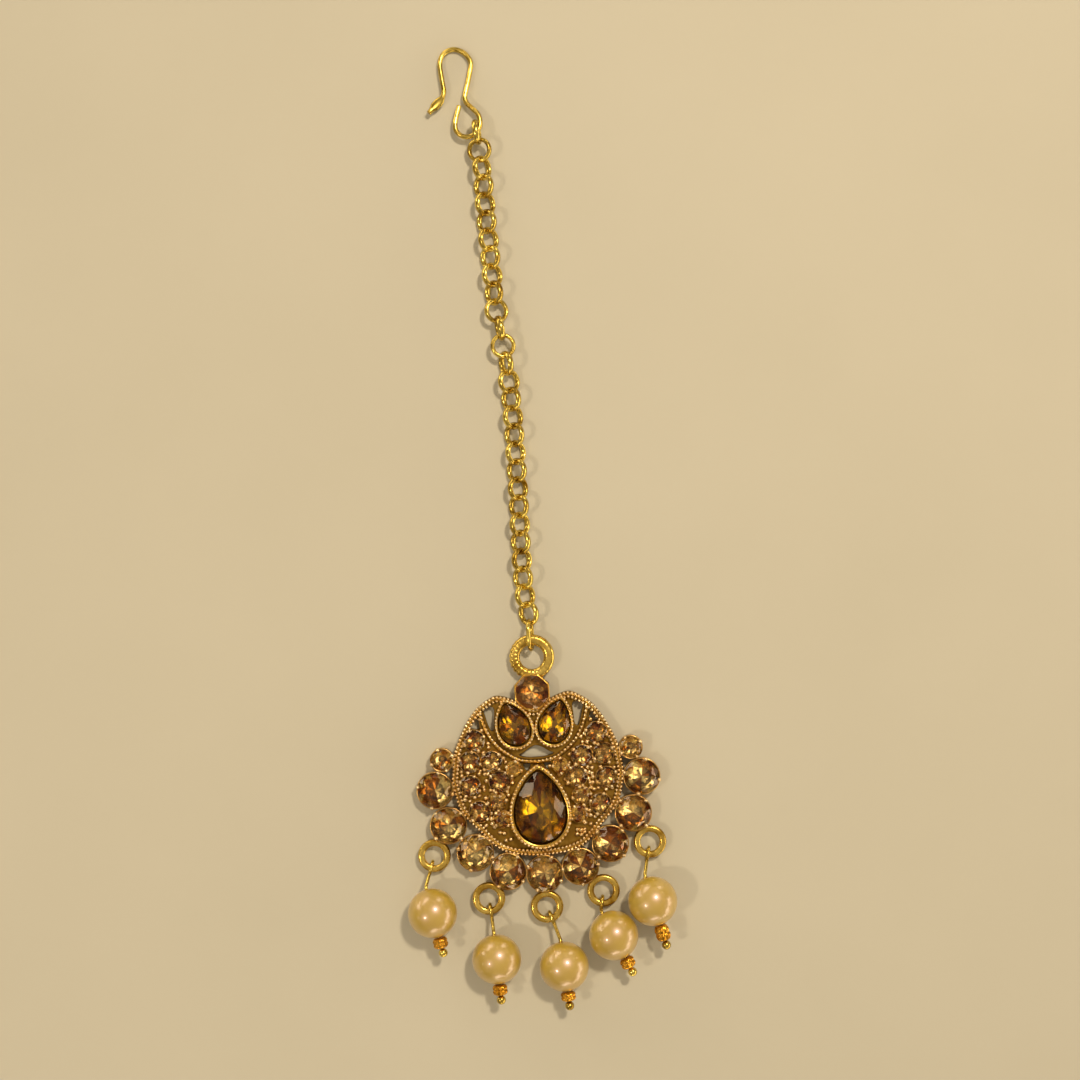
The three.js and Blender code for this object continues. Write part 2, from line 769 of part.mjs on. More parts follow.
function chainSolid() {
  const turned = (shape, middle, way, roll) => {
    shape.rotateY(radians(roll)).rotateZ(Math.atan2(way.y, way.x) - Math.PI / 2);
    return solidOf(shape.translate(middle.x, middle.y, middle.z));
  };
  const solids = chain_places.links.map((place) =>
    turned(linkShape(link_outer, link_outer, link_wire), place.middle, place.way, place.roll),
  );
  const end = chain_places.end_middle;
  const end_middle = new THREE.Vector3(end.x, end.y, end_link_width / 2);
  const end_shape = linkShape(end_link_length, end_link_width, link_wire);
  solids.unshift(turned(end_shape, end_middle, chain_places.up, end_link_roll));
  return geometryOf(joined(solids));
}

// The hook: flat wire standing on edge, bent in plan, with its eye lifted to clear the link under it.
function hookSolid() {
  const last = chain_places.links.at(-1);
  const bearing = radians(hook_hold_bearing);
  const inside = link_radius - link_wire / 2 - hook_wire_width / 2 - hook_room;
  const hold = new THREE.Vector2(hook_hold.across * hook_width, hook_hold.along * hook_length);
  const corner_x = last.middle.x - inside * Math.sin(bearing) - hold.x;
  const corner_y = last.middle.y + inside * Math.cos(bearing) - hold.y;
  const lift = last.middle.z - hook_sink - hook_wire_height / 2;
  const points = hook_line.map(([across, along]) => {
    const x = corner_x + across * hook_width;
    const y = corner_y + along * hook_length;
    return new THREE.Vector3(x, y, hook_wire_height / 2 + lift * (1 - along));
  });
  const path = new THREE.CatmullRomCurve3(points, false, "centripetal");
  const unit = roundOutline(1, cast_wire_sides);
  const oval = unit.map((p) => new THREE.Vector2(p.x * hook_wire_height, p.y * hook_wire_width));
  const section = new THREE.Shape(oval);
  return new THREE.ExtrudeGeometry(section, { steps: hook_steps, bevelEnabled: false, extrudePath: path });
}

const part = new THREE.Group();
part.name = "maang_tikka";
const lying = new THREE.Group();
part.add(lying);
lying.add(pendant, drops_group);
addTo(lying, "chain", chainSolid(), pale_gold);
addTo(lying, "hook", hookSolid(), pale_gold);

// The origin is the middle of the box on the table.
lying.updateMatrixWorld(true);
const extent = new THREE.Box3().setFromObject(lying);
const middle = extent.getCenter(new THREE.Vector3());
lying.position.set(-middle.x, -middle.y, -extent.min.z);

export default part;
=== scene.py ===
# %% [markdown]
# A maang tikka is a forehead jewel: a wire hook for the hair, a fine chain, and a cast pendant set with cut
# glass, with pearls on pins below it. The plain solids of the frame give every piece its place. This lesson
# gives the pieces their surfaces: cut stones over foil, beaded gold edges, rounded wire and pearl lacquer.

# %% Load the plain solids
import math

import bmesh
import bpy
import numpy as np
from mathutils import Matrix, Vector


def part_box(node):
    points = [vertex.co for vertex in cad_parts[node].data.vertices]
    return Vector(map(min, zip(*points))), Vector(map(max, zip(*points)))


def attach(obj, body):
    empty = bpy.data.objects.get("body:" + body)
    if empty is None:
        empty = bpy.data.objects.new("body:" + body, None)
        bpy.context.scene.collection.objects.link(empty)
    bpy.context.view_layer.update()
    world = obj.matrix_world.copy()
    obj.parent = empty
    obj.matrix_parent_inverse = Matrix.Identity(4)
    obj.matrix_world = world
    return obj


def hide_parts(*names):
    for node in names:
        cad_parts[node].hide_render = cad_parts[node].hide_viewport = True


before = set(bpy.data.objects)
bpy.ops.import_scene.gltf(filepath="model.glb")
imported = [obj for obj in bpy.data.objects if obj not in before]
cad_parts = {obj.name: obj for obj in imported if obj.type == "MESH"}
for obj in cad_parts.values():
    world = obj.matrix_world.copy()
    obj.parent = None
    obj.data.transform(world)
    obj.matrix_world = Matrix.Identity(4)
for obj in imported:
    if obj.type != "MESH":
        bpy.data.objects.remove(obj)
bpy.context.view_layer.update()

MM = 0.001
print("solids:", len(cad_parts))

# %% [markdown]
# The pendant lies turned a little on the table. Two stones on its middle line, the neck stone and the lowest
# stone of the row, give its middle and its turn, so every curve below can be drawn upright and then placed.

# %% The pendant's own axes
# Millimetres from the pendant's middle up to the neck stone, and half the body's width.
BODY_RISE = 15.5
HALF_BODY = 12.3


def middle_of(node):
    """The centre of a node's box, in millimetres."""
    low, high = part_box(node)
    return (np.array(low) + np.array(high)) / 2 / MM


neck = middle_of("neck_stone")[:2]
lowest = middle_of("row_stone_6")[:2]
up_way = (neck - lowest) / np.linalg.norm(neck - lowest)
right_way = np.array([up_way[1], -up_way[0]])
pendant_middle = neck - up_way * BODY_RISE
PENDANT_TURN = math.degrees(math.atan2(-up_way[0], up_way[1]))
print("pendant middle (mm):", pendant_middle.round(2), "turn:", round(PENDANT_TURN, 2))


def placed(points):
    """Upright pendant coordinates (n, 2 or 3) to the table: x along its right, y along its up."""
    points = np.asarray(points, float)
    flat = pendant_middle + points[..., :1] * right_way + points[..., 1:2] * up_way
    if points.shape[-1] == 3:
        return np.concatenate([flat, points[..., 2:]], axis=-1)
    return flat


def upright(point):
    """A place on the table in upright pendant coordinates."""
    away = np.asarray(point, float)[:2] - pendant_middle
    return np.array([away @ right_way, away @ up_way])


# %% [markdown]
# The photograph was taken from straight above, with the picture's middle a little above the pendant. The
# camera hangs 300 mm over that point and takes in the same 154 mm of table.

# %% Camera
PIXELS_PER_MM = 7.0
PICTURE_PIXELS = 1080
PENDANT_PIXEL = (539.6, 800.0)
CAMERA_HEIGHT = 300.0
# The height above the table at which a millimetre is seven pixels, half way up the body.
SCALE_HEIGHT = 1.5
SENSOR = 36

half_picture = PICTURE_PIXELS / 2
picture_middle = pendant_middle + np.array(
    [(half_picture - PENDANT_PIXEL[0]) / PIXELS_PER_MM, (PENDANT_PIXEL[1] - half_picture) / PIXELS_PER_MM]
)
camera = bpy.data.objects.new("camera", bpy.data.cameras.new("camera"))
bpy.context.scene.collection.objects.link(camera)
camera.location = (picture_middle[0] * MM, picture_middle[1] * MM, CAMERA_HEIGHT * MM)
camera.data.sensor_width = SENSOR
camera.data.lens = SENSOR * (CAMERA_HEIGHT - SCALE_HEIGHT) / (PICTURE_PIXELS / PIXELS_PER_MM)
camera.data.clip_start = 0.01
camera.data.clip_end = 60
bpy.context.scene.camera = camera

# %% [markdown]
# Every new surface is an array of points. A grid is closed on itself where it goes round, and many small
# shapes are laid into one mesh by shifting their face numbers.

# %% Surfaces from arrays


def grid_faces(rows, columns, wrap_rows=False, wrap_columns=False):
    """Four-cornered faces between neighbouring points of a grid of rows by columns."""
    r = np.arange(rows if wrap_rows else rows - 1)
    c = np.arange(columns if wrap_columns else columns - 1)
    r, c = np.meshgrid(r, c, indexing="ij")
    below, beside = (r + 1) % rows, (c + 1) % columns
    corners = (r * columns + c, r * columns + beside, below * columns + beside, below * columns + c)
    return np.stack(corners, axis=-1).reshape(-1, 4)


def around(count):
    """Angles at equal steps round a circle."""
    return np.linspace(0, 2 * np.pi, count, endpoint=False)


def polar(radius, angle, height):
    """Points at (radius cos angle, radius sin angle, height), all three of one shape or stretched to it."""
    return np.stack(np.broadcast_arrays(radius * np.cos(angle), radius * np.sin(angle), height), axis=-1)


def at_height(flat, z):
    """Flat points (n, 2) with one height."""
    return np.column_stack([flat, np.full(len(flat), float(z))])


def together(shapes):
    """Several (points, faces) as one."""
    points, faces, start = [], [], 0
    for p, f in shapes:
        points.append(p)
        faces += [[corner + start for corner in face] for face in f]
        start += len(p)
    return np.concatenate(points), faces


def turn_out(mesh):
    """The faces of a closed mesh turned to point outwards."""
    work = bmesh.new()
    work.from_mesh(mesh)
    bmesh.ops.recalc_face_normals(work, faces=work.faces)
    work.to_mesh(mesh)
    work.free()


def make(name, shape, materials, nodes=(), smooth=True, slots=None, check_faces=True):
    """A piece of the jewel from (points in mm, faces), riding on the one body."""
    points, faces = shape
    mesh = bpy.data.meshes.new(name)
    face_lists = faces if isinstance(faces, list) else faces.tolist()
    mesh.from_pydata((np.asarray(points) * MM).tolist(), [], face_lists)
    mesh.polygons.foreach_set("use_smooth", np.full(len(mesh.polygons), smooth))
    for material in materials:
        mesh.materials.append(material)
    if slots is not None:
        mesh.polygons.foreach_set("material_index", np.asarray(slots, dtype=np.int32))
    mesh.update()
    if check_faces:
        turn_out(mesh)
    piece = bpy.data.objects.new(name, mesh)
    bpy.context.scene.collection.objects.link(piece)
    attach(piece, "root")
    if nodes:
        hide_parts(*nodes)
    return piece


def cast(name, shape, material):
    """A piece of the cast body."""
    make(name, shape, [material], ("pendant_frame",))


def ring_of(centre, axis_x, axis_y, radius, section, turns=40, sides=14, stretch=0.0, flat=1.0):
    """A wire ring: centre + (R + r cos v)(x cos u + y sin u) + z r sin v.

    Its two ends are drawn apart by stretch, and its section is flat times as high as it is wide.
    """
    u, v = around(turns)[:, None], around(sides)[None, :]
    axis_x, axis_y = np.asarray(axis_x, float), np.asarray(axis_y, float)
    axis_z = np.cross(axis_x, axis_y)
    reach = radius + section * np.cos(v)
    a = reach * np.cos(u)
    b = reach * np.sin(u) + stretch * np.tanh(6 * np.sin(u)) * np.ones_like(v)
    c = section * flat * np.sin(v) * np.ones_like(u)
    points = centre + a[..., None] * axis_x + b[..., None] * axis_y + c[..., None] * axis_z
    return points.reshape(-1, 3), grid_faces(turns, sides, True, True)[:, ::-1]


def carried(path, profile, closed=False):
    """A closed profile (across, up), or one for each point, carried along a path: across = tangent x Z."""
    path = np.asarray(path, float)
    if closed:
        way = np.roll(path, -1, axis=0) - np.roll(path, 1, axis=0)
    else:
        way = np.gradient(path, axis=0)
    way /= np.linalg.norm(way, axis=1, keepdims=True)
    across = np.cross(way, [0, 0, 1.0])
    across /= np.linalg.norm(across, axis=1, keepdims=True)
    up = np.cross(across, way)
    profile = np.asarray(profile, float)
    sides = profile.shape[-2]
    points = path[:, None] + profile[..., :1] * across[:, None] + profile[..., 1:] * up[:, None]
    faces = grid_faces(len(path), sides, closed, True)
    if closed:
        return points.reshape(-1, 3), faces
    faces = faces.tolist()
    last = (len(path) - 1) * sides
    faces.append(list(range(sides))[::-1])
    faces.append(list(range(last, last + sides)))
    return points.reshape(-1, 3), faces


def lathed(profile, turns=48):
    """A profile (radius, height) that closes on itself or ends on the axis, turned about Z."""
    profile = np.asarray(profile, float)
    points = polar(profile[None, :, 0], around(turns)[:, None], profile[None, :, 1])
    return points.reshape(-1, 3), grid_faces(turns, len(profile), True, True)


def round_profile(width, height, sides=14):
    """An oval section: half width cos a across, half height sin a up."""
    a = around(sides)
    return np.stack([width / 2 * np.cos(a), height / 2 * np.sin(a)], axis=-1)


# %% [markdown]
# The solids drew their curves through a few chosen points with a centripetal Catmull-Rom line. The same
# line is worked out here, so that a beaded edge or a link falls exactly on the solid it dresses.

# %% Smooth lines through points


def smooth_line(knots, closed=False, per_span=24):
    """Centripetal Catmull-Rom: each span is a cubic whose end slopes weigh neighbours by root distance."""
    knots = np.asarray(knots, float)
    if closed:
        before, after = np.roll(knots, 1, axis=0), np.roll(knots, -2, axis=0)
        starts, ends = knots, np.roll(knots, -1, axis=0)
    else:
        first = 2 * knots[0] - knots[1]
        final = 2 * knots[-1] - knots[-2]
        long = np.vstack([first, knots, final])
        before, starts, ends, after = long[:-3], long[1:-2], long[2:-1], long[3:]
    d0, d1, d2 = (
        np.maximum(np.linalg.norm(b - a, axis=1), 1e-9) ** 0.5
        for a, b in ((before, starts), (starts, ends), (ends, after))
    )
    d0, d1, d2 = d0[:, None], d1[:, None], d2[:, None]
    m1 = ((starts - before) / d0 - (ends - before) / (d0 + d1) + (ends - starts) / d1) * d1
    m2 = ((ends - starts) / d1 - (after - starts) / (d1 + d2) + (after - ends) / d2) * d1
    t = (np.arange(per_span) / per_span)[None, :, None]
    a, b, m1, m2 = starts[:, None], ends[:, None], m1[:, None], m2[:, None]
    line = a + m1 * t + (-3 * a + 3 * b - 2 * m1 - m2) * t**2 + (2 * a - 2 * b + m1 + m2) * t**3
    line = line.reshape(-1, knots.shape[1])
    return line if closed else np.vstack([line, knots[-1]])


def evenly(line, count, closed=False):
    """Points at equal steps along a line; a closed line leaves out its repeated end."""
    if closed:
        line = np.vstack([line, line[:1]])
    run = np.concatenate([[0], np.cumsum(np.linalg.norm(np.diff(line, axis=0), axis=1))])
    steps = np.linspace(0, run[-1], count, endpoint=not closed)
    return np.stack([np.interp(steps, run, line[:, k]) for k in range(line.shape[1])], axis=-1)


def length_of(line, closed=False):
    """The length of a line, with the step back to its start where it is closed."""
    if closed:
        line = np.vstack([line, line[:1]])
    return np.linalg.norm(np.diff(line, axis=0), axis=1).sum()


def inwards(line, distance):
    """A closed line moved inwards along its own normals, for a line that runs clockwise."""
    way = np.roll(line, -1, axis=0) - np.roll(line, 1, axis=0)
    way /= np.linalg.norm(way, axis=1, keepdims=True)
    return line + np.stack([way[:, 1], -way[:, 0]], axis=-1) * distance


# %% [markdown]
# Colours are written as the eye sees them, and one function turns them into the light values that the shader
# wants. A finish is a small graph of nodes, so one function adds a node with its settings and its links.

# %% Colour and node helpers


def colour(hex_code):
    """An sRGB hex colour as linear red, green, blue and alpha."""
    levels = np.array([int(hex_code[i : i + 2], 16) for i in (0, 2, 4)]) / 255
    linear = np.where(levels <= 0.04045, levels / 12.92, ((levels + 0.055) / 1.055) ** 2.4)
    return (*linear.tolist(), 1.0)


def new_material(name):
    """An empty node material with its shader."""
    material = bpy.data.materials.new(name)
    material.use_nodes = True
    return material, material.node_tree.nodes["Principled BSDF"]


def add(material, kind, settings=None, links=None, **attributes):
    """Adds a node, sets its sockets and attributes, and links sockets from other nodes' outputs."""
    node = material.node_tree.nodes.new(kind)
    for key, value in attributes.items():
        setattr(node, key, value)
    for key, value in (settings or {}).items():
        node.inputs[key].default_value = value
    for key, output in (links or {}).items():
        material.node_tree.links.new(output, node.inputs[key])
    return node


def join(material, output, socket):
    """Links an output of a node to a socket that exists."""
    material.node_tree.links.new(output, socket)


# %% [markdown]
# The metal is thin gold plate: over cast zinc alloy for the body, over drawn brass for the wires. The body is
# finished antique: a dark wash is brushed on and wiped off again, so it is bright where it is rubbed on top
# and brown in the recesses. The two are mixed by height, which paints that: the brown low down is the wash
# and also painted shade in the recesses. The wires were never washed and are a paler, cleaner gold, which
# differs only in dull spots.

# %% Gold
# Heights in millimetres between which the wash, and the painted recess shade with it, gives way to rubbed
# metal.
RECESS_TOP = 1.45
RIM_TOP = 1.95


def plated(material, shader, place, share, tints, roughness, grain):
    """Metal that goes from the first tint and roughness to the second with share.

    The grain is a noise: its scale per metre, detail and roughness, then its strength and depth in mm.
    """
    per_metre, detail, tooth, strength, depth = grain
    tone = add(
        material,
        "ShaderNodeMix",
        {"A": colour(tints[0]), "B": colour(tints[1])},
        {"Factor": share},
        data_type="RGBA",
    )
    join(material, tone.outputs[2], shader.inputs["Base Color"])
    rough = add(
        material,
        "ShaderNodeMapRange",
        {"To Min": roughness[0], "To Max": roughness[1]},
        {"Value": share},
    )
    join(material, rough.outputs["Result"], shader.inputs["Roughness"])
    marks = add(
        material,
        "ShaderNodeTexNoise",
        {"Scale": per_metre, "Detail": detail, "Roughness": tooth},
        {"Vector": place},
    ).outputs["Fac"]
    bump = add(material, "ShaderNodeBump", {"Strength": strength, "Distance": depth * MM}, {"Height": marks})
    join(material, bump.outputs["Normal"], shader.inputs["Normal"])
    shader.inputs["Metallic"].default_value = 1.0


def antique_gold_with_shade(name, bright, dark, roughness):
    """Gold plate over a cast body, wiped with a dark wash: brown low down, bright on the rubbed tops.

    The brown low down is also painted shade in the recesses.
    """
    material, shader = new_material(name)
    place = add(material, "ShaderNodeTexCoord").outputs["Object"]
    height = add(material, "ShaderNodeSeparateXYZ", links={0: place}).outputs["Z"]
    # 900 per metre: blotches of wash about 1.1 mm across.
    grime = add(
        material, "ShaderNodeTexNoise", {"Scale": 900.0, "Detail": 5.0, "Roughness": 0.6}, {"Vector": place}
    ).outputs["Fac"]
    rise = add(
        material,
        "ShaderNodeMapRange",
        {"From Min": RECESS_TOP * MM, "From Max": RIM_TOP * MM},
        {"Value": height},
    ).outputs["Result"]
    patch = add(
        material,
        "ShaderNodeMapRange",
        {"From Min": 0.3, "From Max": 0.7, "To Min": -0.3, "To Max": 0.3},
        {"Value": grime},
    ).outputs["Result"]
    # The share of bright metal, by height: the brown low down is the wash and also painted recess shade.
    rubbed = add(
        material, "ShaderNodeMath", None, {0: rise, 1: patch}, operation="ADD", use_clamp=True
    ).outputs[0]
    # 2600 per metre: casting grain of 0.4 mm, coarser than the real one so that it shows.
    grain = (2600.0, 3.0, 0.55, 0.25, 0.06)
    plated(material, shader, place, rubbed, (dark, bright), (roughness + 0.2, roughness), grain)
    return material


def wire_gold(name, bright, dark, roughness):
    """Smooth brass with a flash of gold: even and bright, with a faint grain and duller worn spots."""
    material, shader = new_material(name)
    place = add(material, "ShaderNodeTexCoord").outputs["Object"]
    # 420 per metre: dull spots about 2.4 mm across.
    dull = add(
        material, "ShaderNodeTexNoise", {"Scale": 420.0, "Detail": 4.0, "Roughness": 0.6}, {"Vector": place}
    ).outputs["Fac"]
    worn = add(
        material, "ShaderNodeMapRange", {"From Min": 0.35, "From Max": 0.7}, {"Value": dull}
    ).outputs["Result"]
    # 3000 per metre: grain of 0.3 mm, coarser than the real one so that it shows.
    grain = (3000.0, 2.0, 0.5, 0.15, 0.03)
    plated(material, shader, place, worn, (bright, dark), (roughness, roughness + 0.14), grain)
    return material


# Rim, walls and neck setting: bright gold on the rubbed tops, brown wash and painted shade in the corners.
CAST_GOLD = antique_gold_with_shade("cast antique gold plate with painted shade", "E6BE62", "5A3408", 0.22)
# The flat floor between the stones: a duller olive gold, since nothing rubs it, all low down in the brown
# end, which is the wash and also painted recess shade.
CAST_FLOOR = antique_gold_with_shade("washed gold floor with painted shade", "B49850", "7E6026", 0.34)
# Beads, prongs and grains: nearly white on top, because they take all the rubbing.
BEAD_GOLD = wire_gold("rubbed milgrain gold", "FFF0CC", "DCAE5C", 0.22)
# The ring and the loops: bright yellow with soft highlights, as cast metal polished by wear.
RING_GOLD = wire_gold("rubbed cast loop gold", "FADC78", "9A7420", 0.2)
# Chain, hook and pins: drawn wire, clean and pale with narrow highlights.
LINK_GOLD = wire_gold("drawn wire pale gold", "F2DA74", "8A6818", 0.18)
# Cap beads: stamped from thin sheet under a thicker plate, a redder and deeper gold.
CAP_GOLD = wire_gold("stamped bead gold", "F0B440", "A87014", 0.2)
# Collars: worn light on some spots of the lip and dark brown where the wash stayed.
COLLAR_GOLD = wire_gold("worn collar gold", "EAC684", "6A4214", 0.24)

# %% [markdown]
# A cheap cut stone is a glass brilliant with a mirror foil on its back. The light goes in through the crown,
# bounces off the foiled pavilion and comes back coloured, which is why some facets look almost white and
# others dark brown. So a stone here is one closed body with two materials: clear tinted glass on the faces
# above the girdle, and coloured mirror on the faces below it. The mirror's facets are also painted pale and
# dark at random: painted reflection and painted shade on top of what the lights give.

# %% Glass and foil


def crown_glass(name, tint):
    """Cut lead-free crystal glass, polished, refractive index 1.55: clear, with sharp glints on its edges."""
    material, shader = new_material(name)
    shader.inputs["Base Color"].default_value = colour(tint)
    shader.inputs["Roughness"].default_value = 0.0
    shader.inputs["IOR"].default_value = 1.55
    shader.inputs["Transmission Weight"].default_value = 1.0
    return material


def foil(name, light, dark):
    """Vacuum-coated foil on the pavilion: a coloured mirror, its facets painted pale and dark.

    The pale facets are painted reflection and the dark ones painted shade.
    """
    material, shader = new_material(name)
    # Each facet's share from pale to dark: painted reflection at 0, painted shade at 1.
    share = add(material, "ShaderNodeAttribute", attribute_name="tone").outputs["Fac"]
    tone = add(
        material,
        "ShaderNodeMix",
        {"A": colour(light), "B": colour(dark)},
        {"Factor": share},
        data_type="RGBA",
    )
    join(material, tone.outputs[2], shader.inputs["Base Color"])
    shader.inputs["Metallic"].default_value = 1.0
    shader.inputs["Roughness"].default_value = 0.16
    return material


# The round stones: nearly colourless glass over a pinkish straw foil.
CHAMPAGNE_GLASS = crown_glass("champagne crystal glass", "FFF8E2")
CHAMPAGNE_FOIL = foil("champagne foil", "FFECB0", "B0742A")
# The pears: yellow glass over a deep amber foil.
AMBER_GLASS = crown_glass("amber crystal glass", "FFF4C8")
AMBER_FOIL = foil("amber foil", "F8D02C", "8C5A0A")

# %% [markdown]
# The brilliant cut is a few rings of points: the table, the corners where star and kite facets meet, the
# girdle, the pavilion's lower ring and the culet. A pear is the same cut, each ring stretched to the pear.

# %% The cut of a stone
FOLD = 8
GIRDLE_HALF = 0.05
# Shares of the way from girdle to table or to culet at which the inner rings lie, and a pear's culet's shift.
STAR_RISE, STAR_OUT = 0.58, 0.02
PAVILION_SHARE, PAVILION_FALL = 0.5, 0.52
CULET_SHIFT = 0.12


def pear_outline(angle, width, length):
    """Half width sin t root(sin(t/2)) / 0.835 across, half length cos t along, from the point round."""
    t = np.mod(angle, 2 * np.pi)
    across = np.sin(t) * np.sqrt(np.abs(np.sin(t / 2))) / 0.835
    return np.stack([across * width / 2, np.cos(t) * length / 2], axis=-1)


def round_outline(angle, width, length):
    """A circle or oval: half width sin t, half length cos t."""
    return np.stack([np.sin(angle) * width / 2, np.cos(angle) * length / 2], axis=-1)


def brilliant(outline, width, length, low, girdle, top, table=0.56, fold=FOLD):
    """A brilliant: rings of points, each the outline times a share at a height, and which faces have foil."""
    whole = np.arange(fold) * 2 * np.pi / fold
    half = whole + np.pi / fold
    fine = np.arange(2 * fold) * np.pi / fold

    def ring(angles, share, z):
        """The outline times its share, at one height."""
        return at_height(outline(angles, width, length) * share, z)

    rings = [
        ring(whole, table, top),
        ring(half, (1 + table) / 2 + STAR_OUT, girdle + (top - girdle) * STAR_RISE),
        ring(fine, 1.0, girdle + GIRDLE_HALF),
        ring(fine, 1.0, girdle - GIRDLE_HALF),
        ring(half, PAVILION_SHARE, girdle - (girdle - low) * PAVILION_FALL),
        np.array([[0.0, 0.0, low]]),
    ]
    if outline is pear_outline:
        # The culet of a pear sits towards its round end.
        rings[5][0, 1] = outline(np.array([np.pi]), width, length)[0, 1] * CULET_SHIFT
    starts = np.cumsum([0] + [len(r) for r in rings])
    t, s, g, h, p, c = (int(v) for v in starts[:6])
    k = np.arange(fold)
    n = (k + 1) % fold
    f0, f1, f2 = 2 * k, 2 * k + 1, (2 * k + 2) % (2 * fold)
    before = (k - 1) % fold
    crown = [list(range(t, t + fold))[::-1]]
    crown += np.stack([t + k, t + n, s + k], -1).tolist()
    crown += np.stack([s + before, t + k, s + k, g + f0], -1).tolist()
    crown += np.stack([s + k, g + f1, g + f0], -1)[:, ::-1].tolist()
    crown += np.stack([s + k, g + f2, g + f1], -1)[:, ::-1].tolist()
    m = np.arange(2 * fold)
    beside = (m + 1) % (2 * fold)
    girdle_faces = np.stack([g + m, g + beside, h + beside, h + m], -1).tolist()
    pavilion = np.stack([h + f0, h + f1, p + k], -1).tolist()
    pavilion += np.stack([h + f1, h + f2, p + k], -1).tolist()
    pavilion += np.stack([np.full(fold, c), p + before, h + f0, p + k], -1).tolist()
    faces = crown + girdle_faces + pavilion
    foiled = [0] * len(crown) + [1] * (len(girdle_faces) + len(pavilion))
    return np.concatenate(rings), faces, foiled


def turned(points, degrees):
    """Points turned about Z."""
    a = math.radians(degrees)
    turn = np.array([[math.cos(a), math.sin(a)], [-math.sin(a), math.cos(a)]])
    out = np.array(points, float)
    out[:, :2] = out[:, :2] @ turn
    return out


# Chances of a pale, a middle and a dark facet: painted reflection, half shade and painted shade.
# The seed is fixed, so each run draws the same stones.
FACET_PAINTED_SHADE, FACET_CHANCES = [0.0, 0.4, 1.0], [0.42, 0.26, 0.32]
facet_draw = np.random.default_rng(11)


def set_stone(node, outline, width, length, spin, materials, slot, table=0.56, fold=FOLD, shade=0.0):
    """One stone in its collar, with the height of the solid that it stands for."""
    low, high = (np.array(v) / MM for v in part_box(node))
    centre = (low + high) / 2
    girdle = low[2] + (high[2] - low[2]) * GIRDLE_SHARE[node.split("_")[0]]
    points, faces, foiled = brilliant(outline, width, length, low[2], girdle, high[2], table, fold)
    points = turned(points, spin)
    if outline is round_outline:
        points[:, :2] += centre[:2]
    else:
        lo, hi = points[:, :2].min(axis=0), points[:, :2].max(axis=0)
        points[:, :2] += centre[:2] - (lo + hi) / 2
    piece = make(node + "_cut", (points, faces), materials, (node,), smooth=False, slots=foiled)
    # Each facet draws its share of painted shade; shade pushes a whole stone further into it.
    painted_facet_shade = shade + (1 - shade) * facet_draw.choice(FACET_PAINTED_SHADE, len(faces), p=FACET_CHANCES)
    piece.data.attributes.new("tone", "FLOAT", "FACE").data.foreach_set("value", painted_facet_shade)


# %% [markdown]
# A stone takes its place and height from its solid. The round ones are drawn a little wider than the solids,
# because the photograph shows them lying over the lips of their collars.

# %% Setting the stones
# How far up a stone its girdle lies, by the first word of its node's name.
GIRDLE_SHARE = {"row": 0.6, "field": 0.66, "centre": 0.58, "top": 0.6, "neck": 0.64}
ROW_STONE, ROW_END_STONE, FIELD_STONE, OVER_LIP = 4.8, 2.9, 2.76, 0.16
NECK_STONE, NECK_CORNER, NECK_SHADE = 4.8, 22.5, 0.5
CENTRE_PEAR, TOP_PEAR, TOP_TILT = (7.0, 10.1), (4.2, 6.0), 18
# The nine stones of one side of the field, as shares of the widest.
FIELD_SIZES = [1, 1, 1, 0.69, 1, 1, 0.87, 1, 0.8]
champagne = (CHAMPAGNE_GLASS, CHAMPAGNE_FOIL)
amber = (AMBER_GLASS, AMBER_FOIL)
# Turns of the round stones in degrees, and from the forty-first on those of the prongs that hold them.
spins = np.random.default_rng(7).uniform(0, 45, 64)

row_nodes = [f"row_stone_{i}" for i in range(1, 12)]
for i, node in enumerate(row_nodes):
    width = (ROW_END_STONE if i in (0, 10) else ROW_STONE) + 1.6 * OVER_LIP
    set_stone(node, round_outline, width, width, spins[i], champagne, "champagne_stone")
field_nodes = [f"field_stone_{hand}_{i}" for hand in ("left", "right") for i in range(1, 10)]
for i, node in enumerate(field_nodes):
    width = FIELD_STONE * FIELD_SIZES[i % 9] + 2 * OVER_LIP
    set_stone(node, round_outline, width, width, spins[20 + i], champagne, "champagne_stone")
set_stone(
    "neck_stone",
    round_outline,
    NECK_STONE,
    NECK_STONE,
    PENDANT_TURN + NECK_CORNER,
    champagne,
    "champagne_stone",
    table=0.5,
    shade=NECK_SHADE,
)
for side, hand in ((-1, "left"), (1, "right")):
    spin = PENDANT_TURN - side * TOP_TILT
    set_stone(f"top_stone_{hand}", pear_outline, *TOP_PEAR, spin, amber, "amber_stone", 0.58)
set_stone("centre_stone", pear_outline, *CENTRE_PEAR, PENDANT_TURN, amber, "amber_stone", 0.55)
print("stones set:", len(row_nodes) + len(field_nodes) + 4)

# %% [markdown]
# The cast body is a pierced plate. Its outline and windows are flat curves, filled and given thickness with
# a rounded edge, which a grid of points could not follow round so many holes.

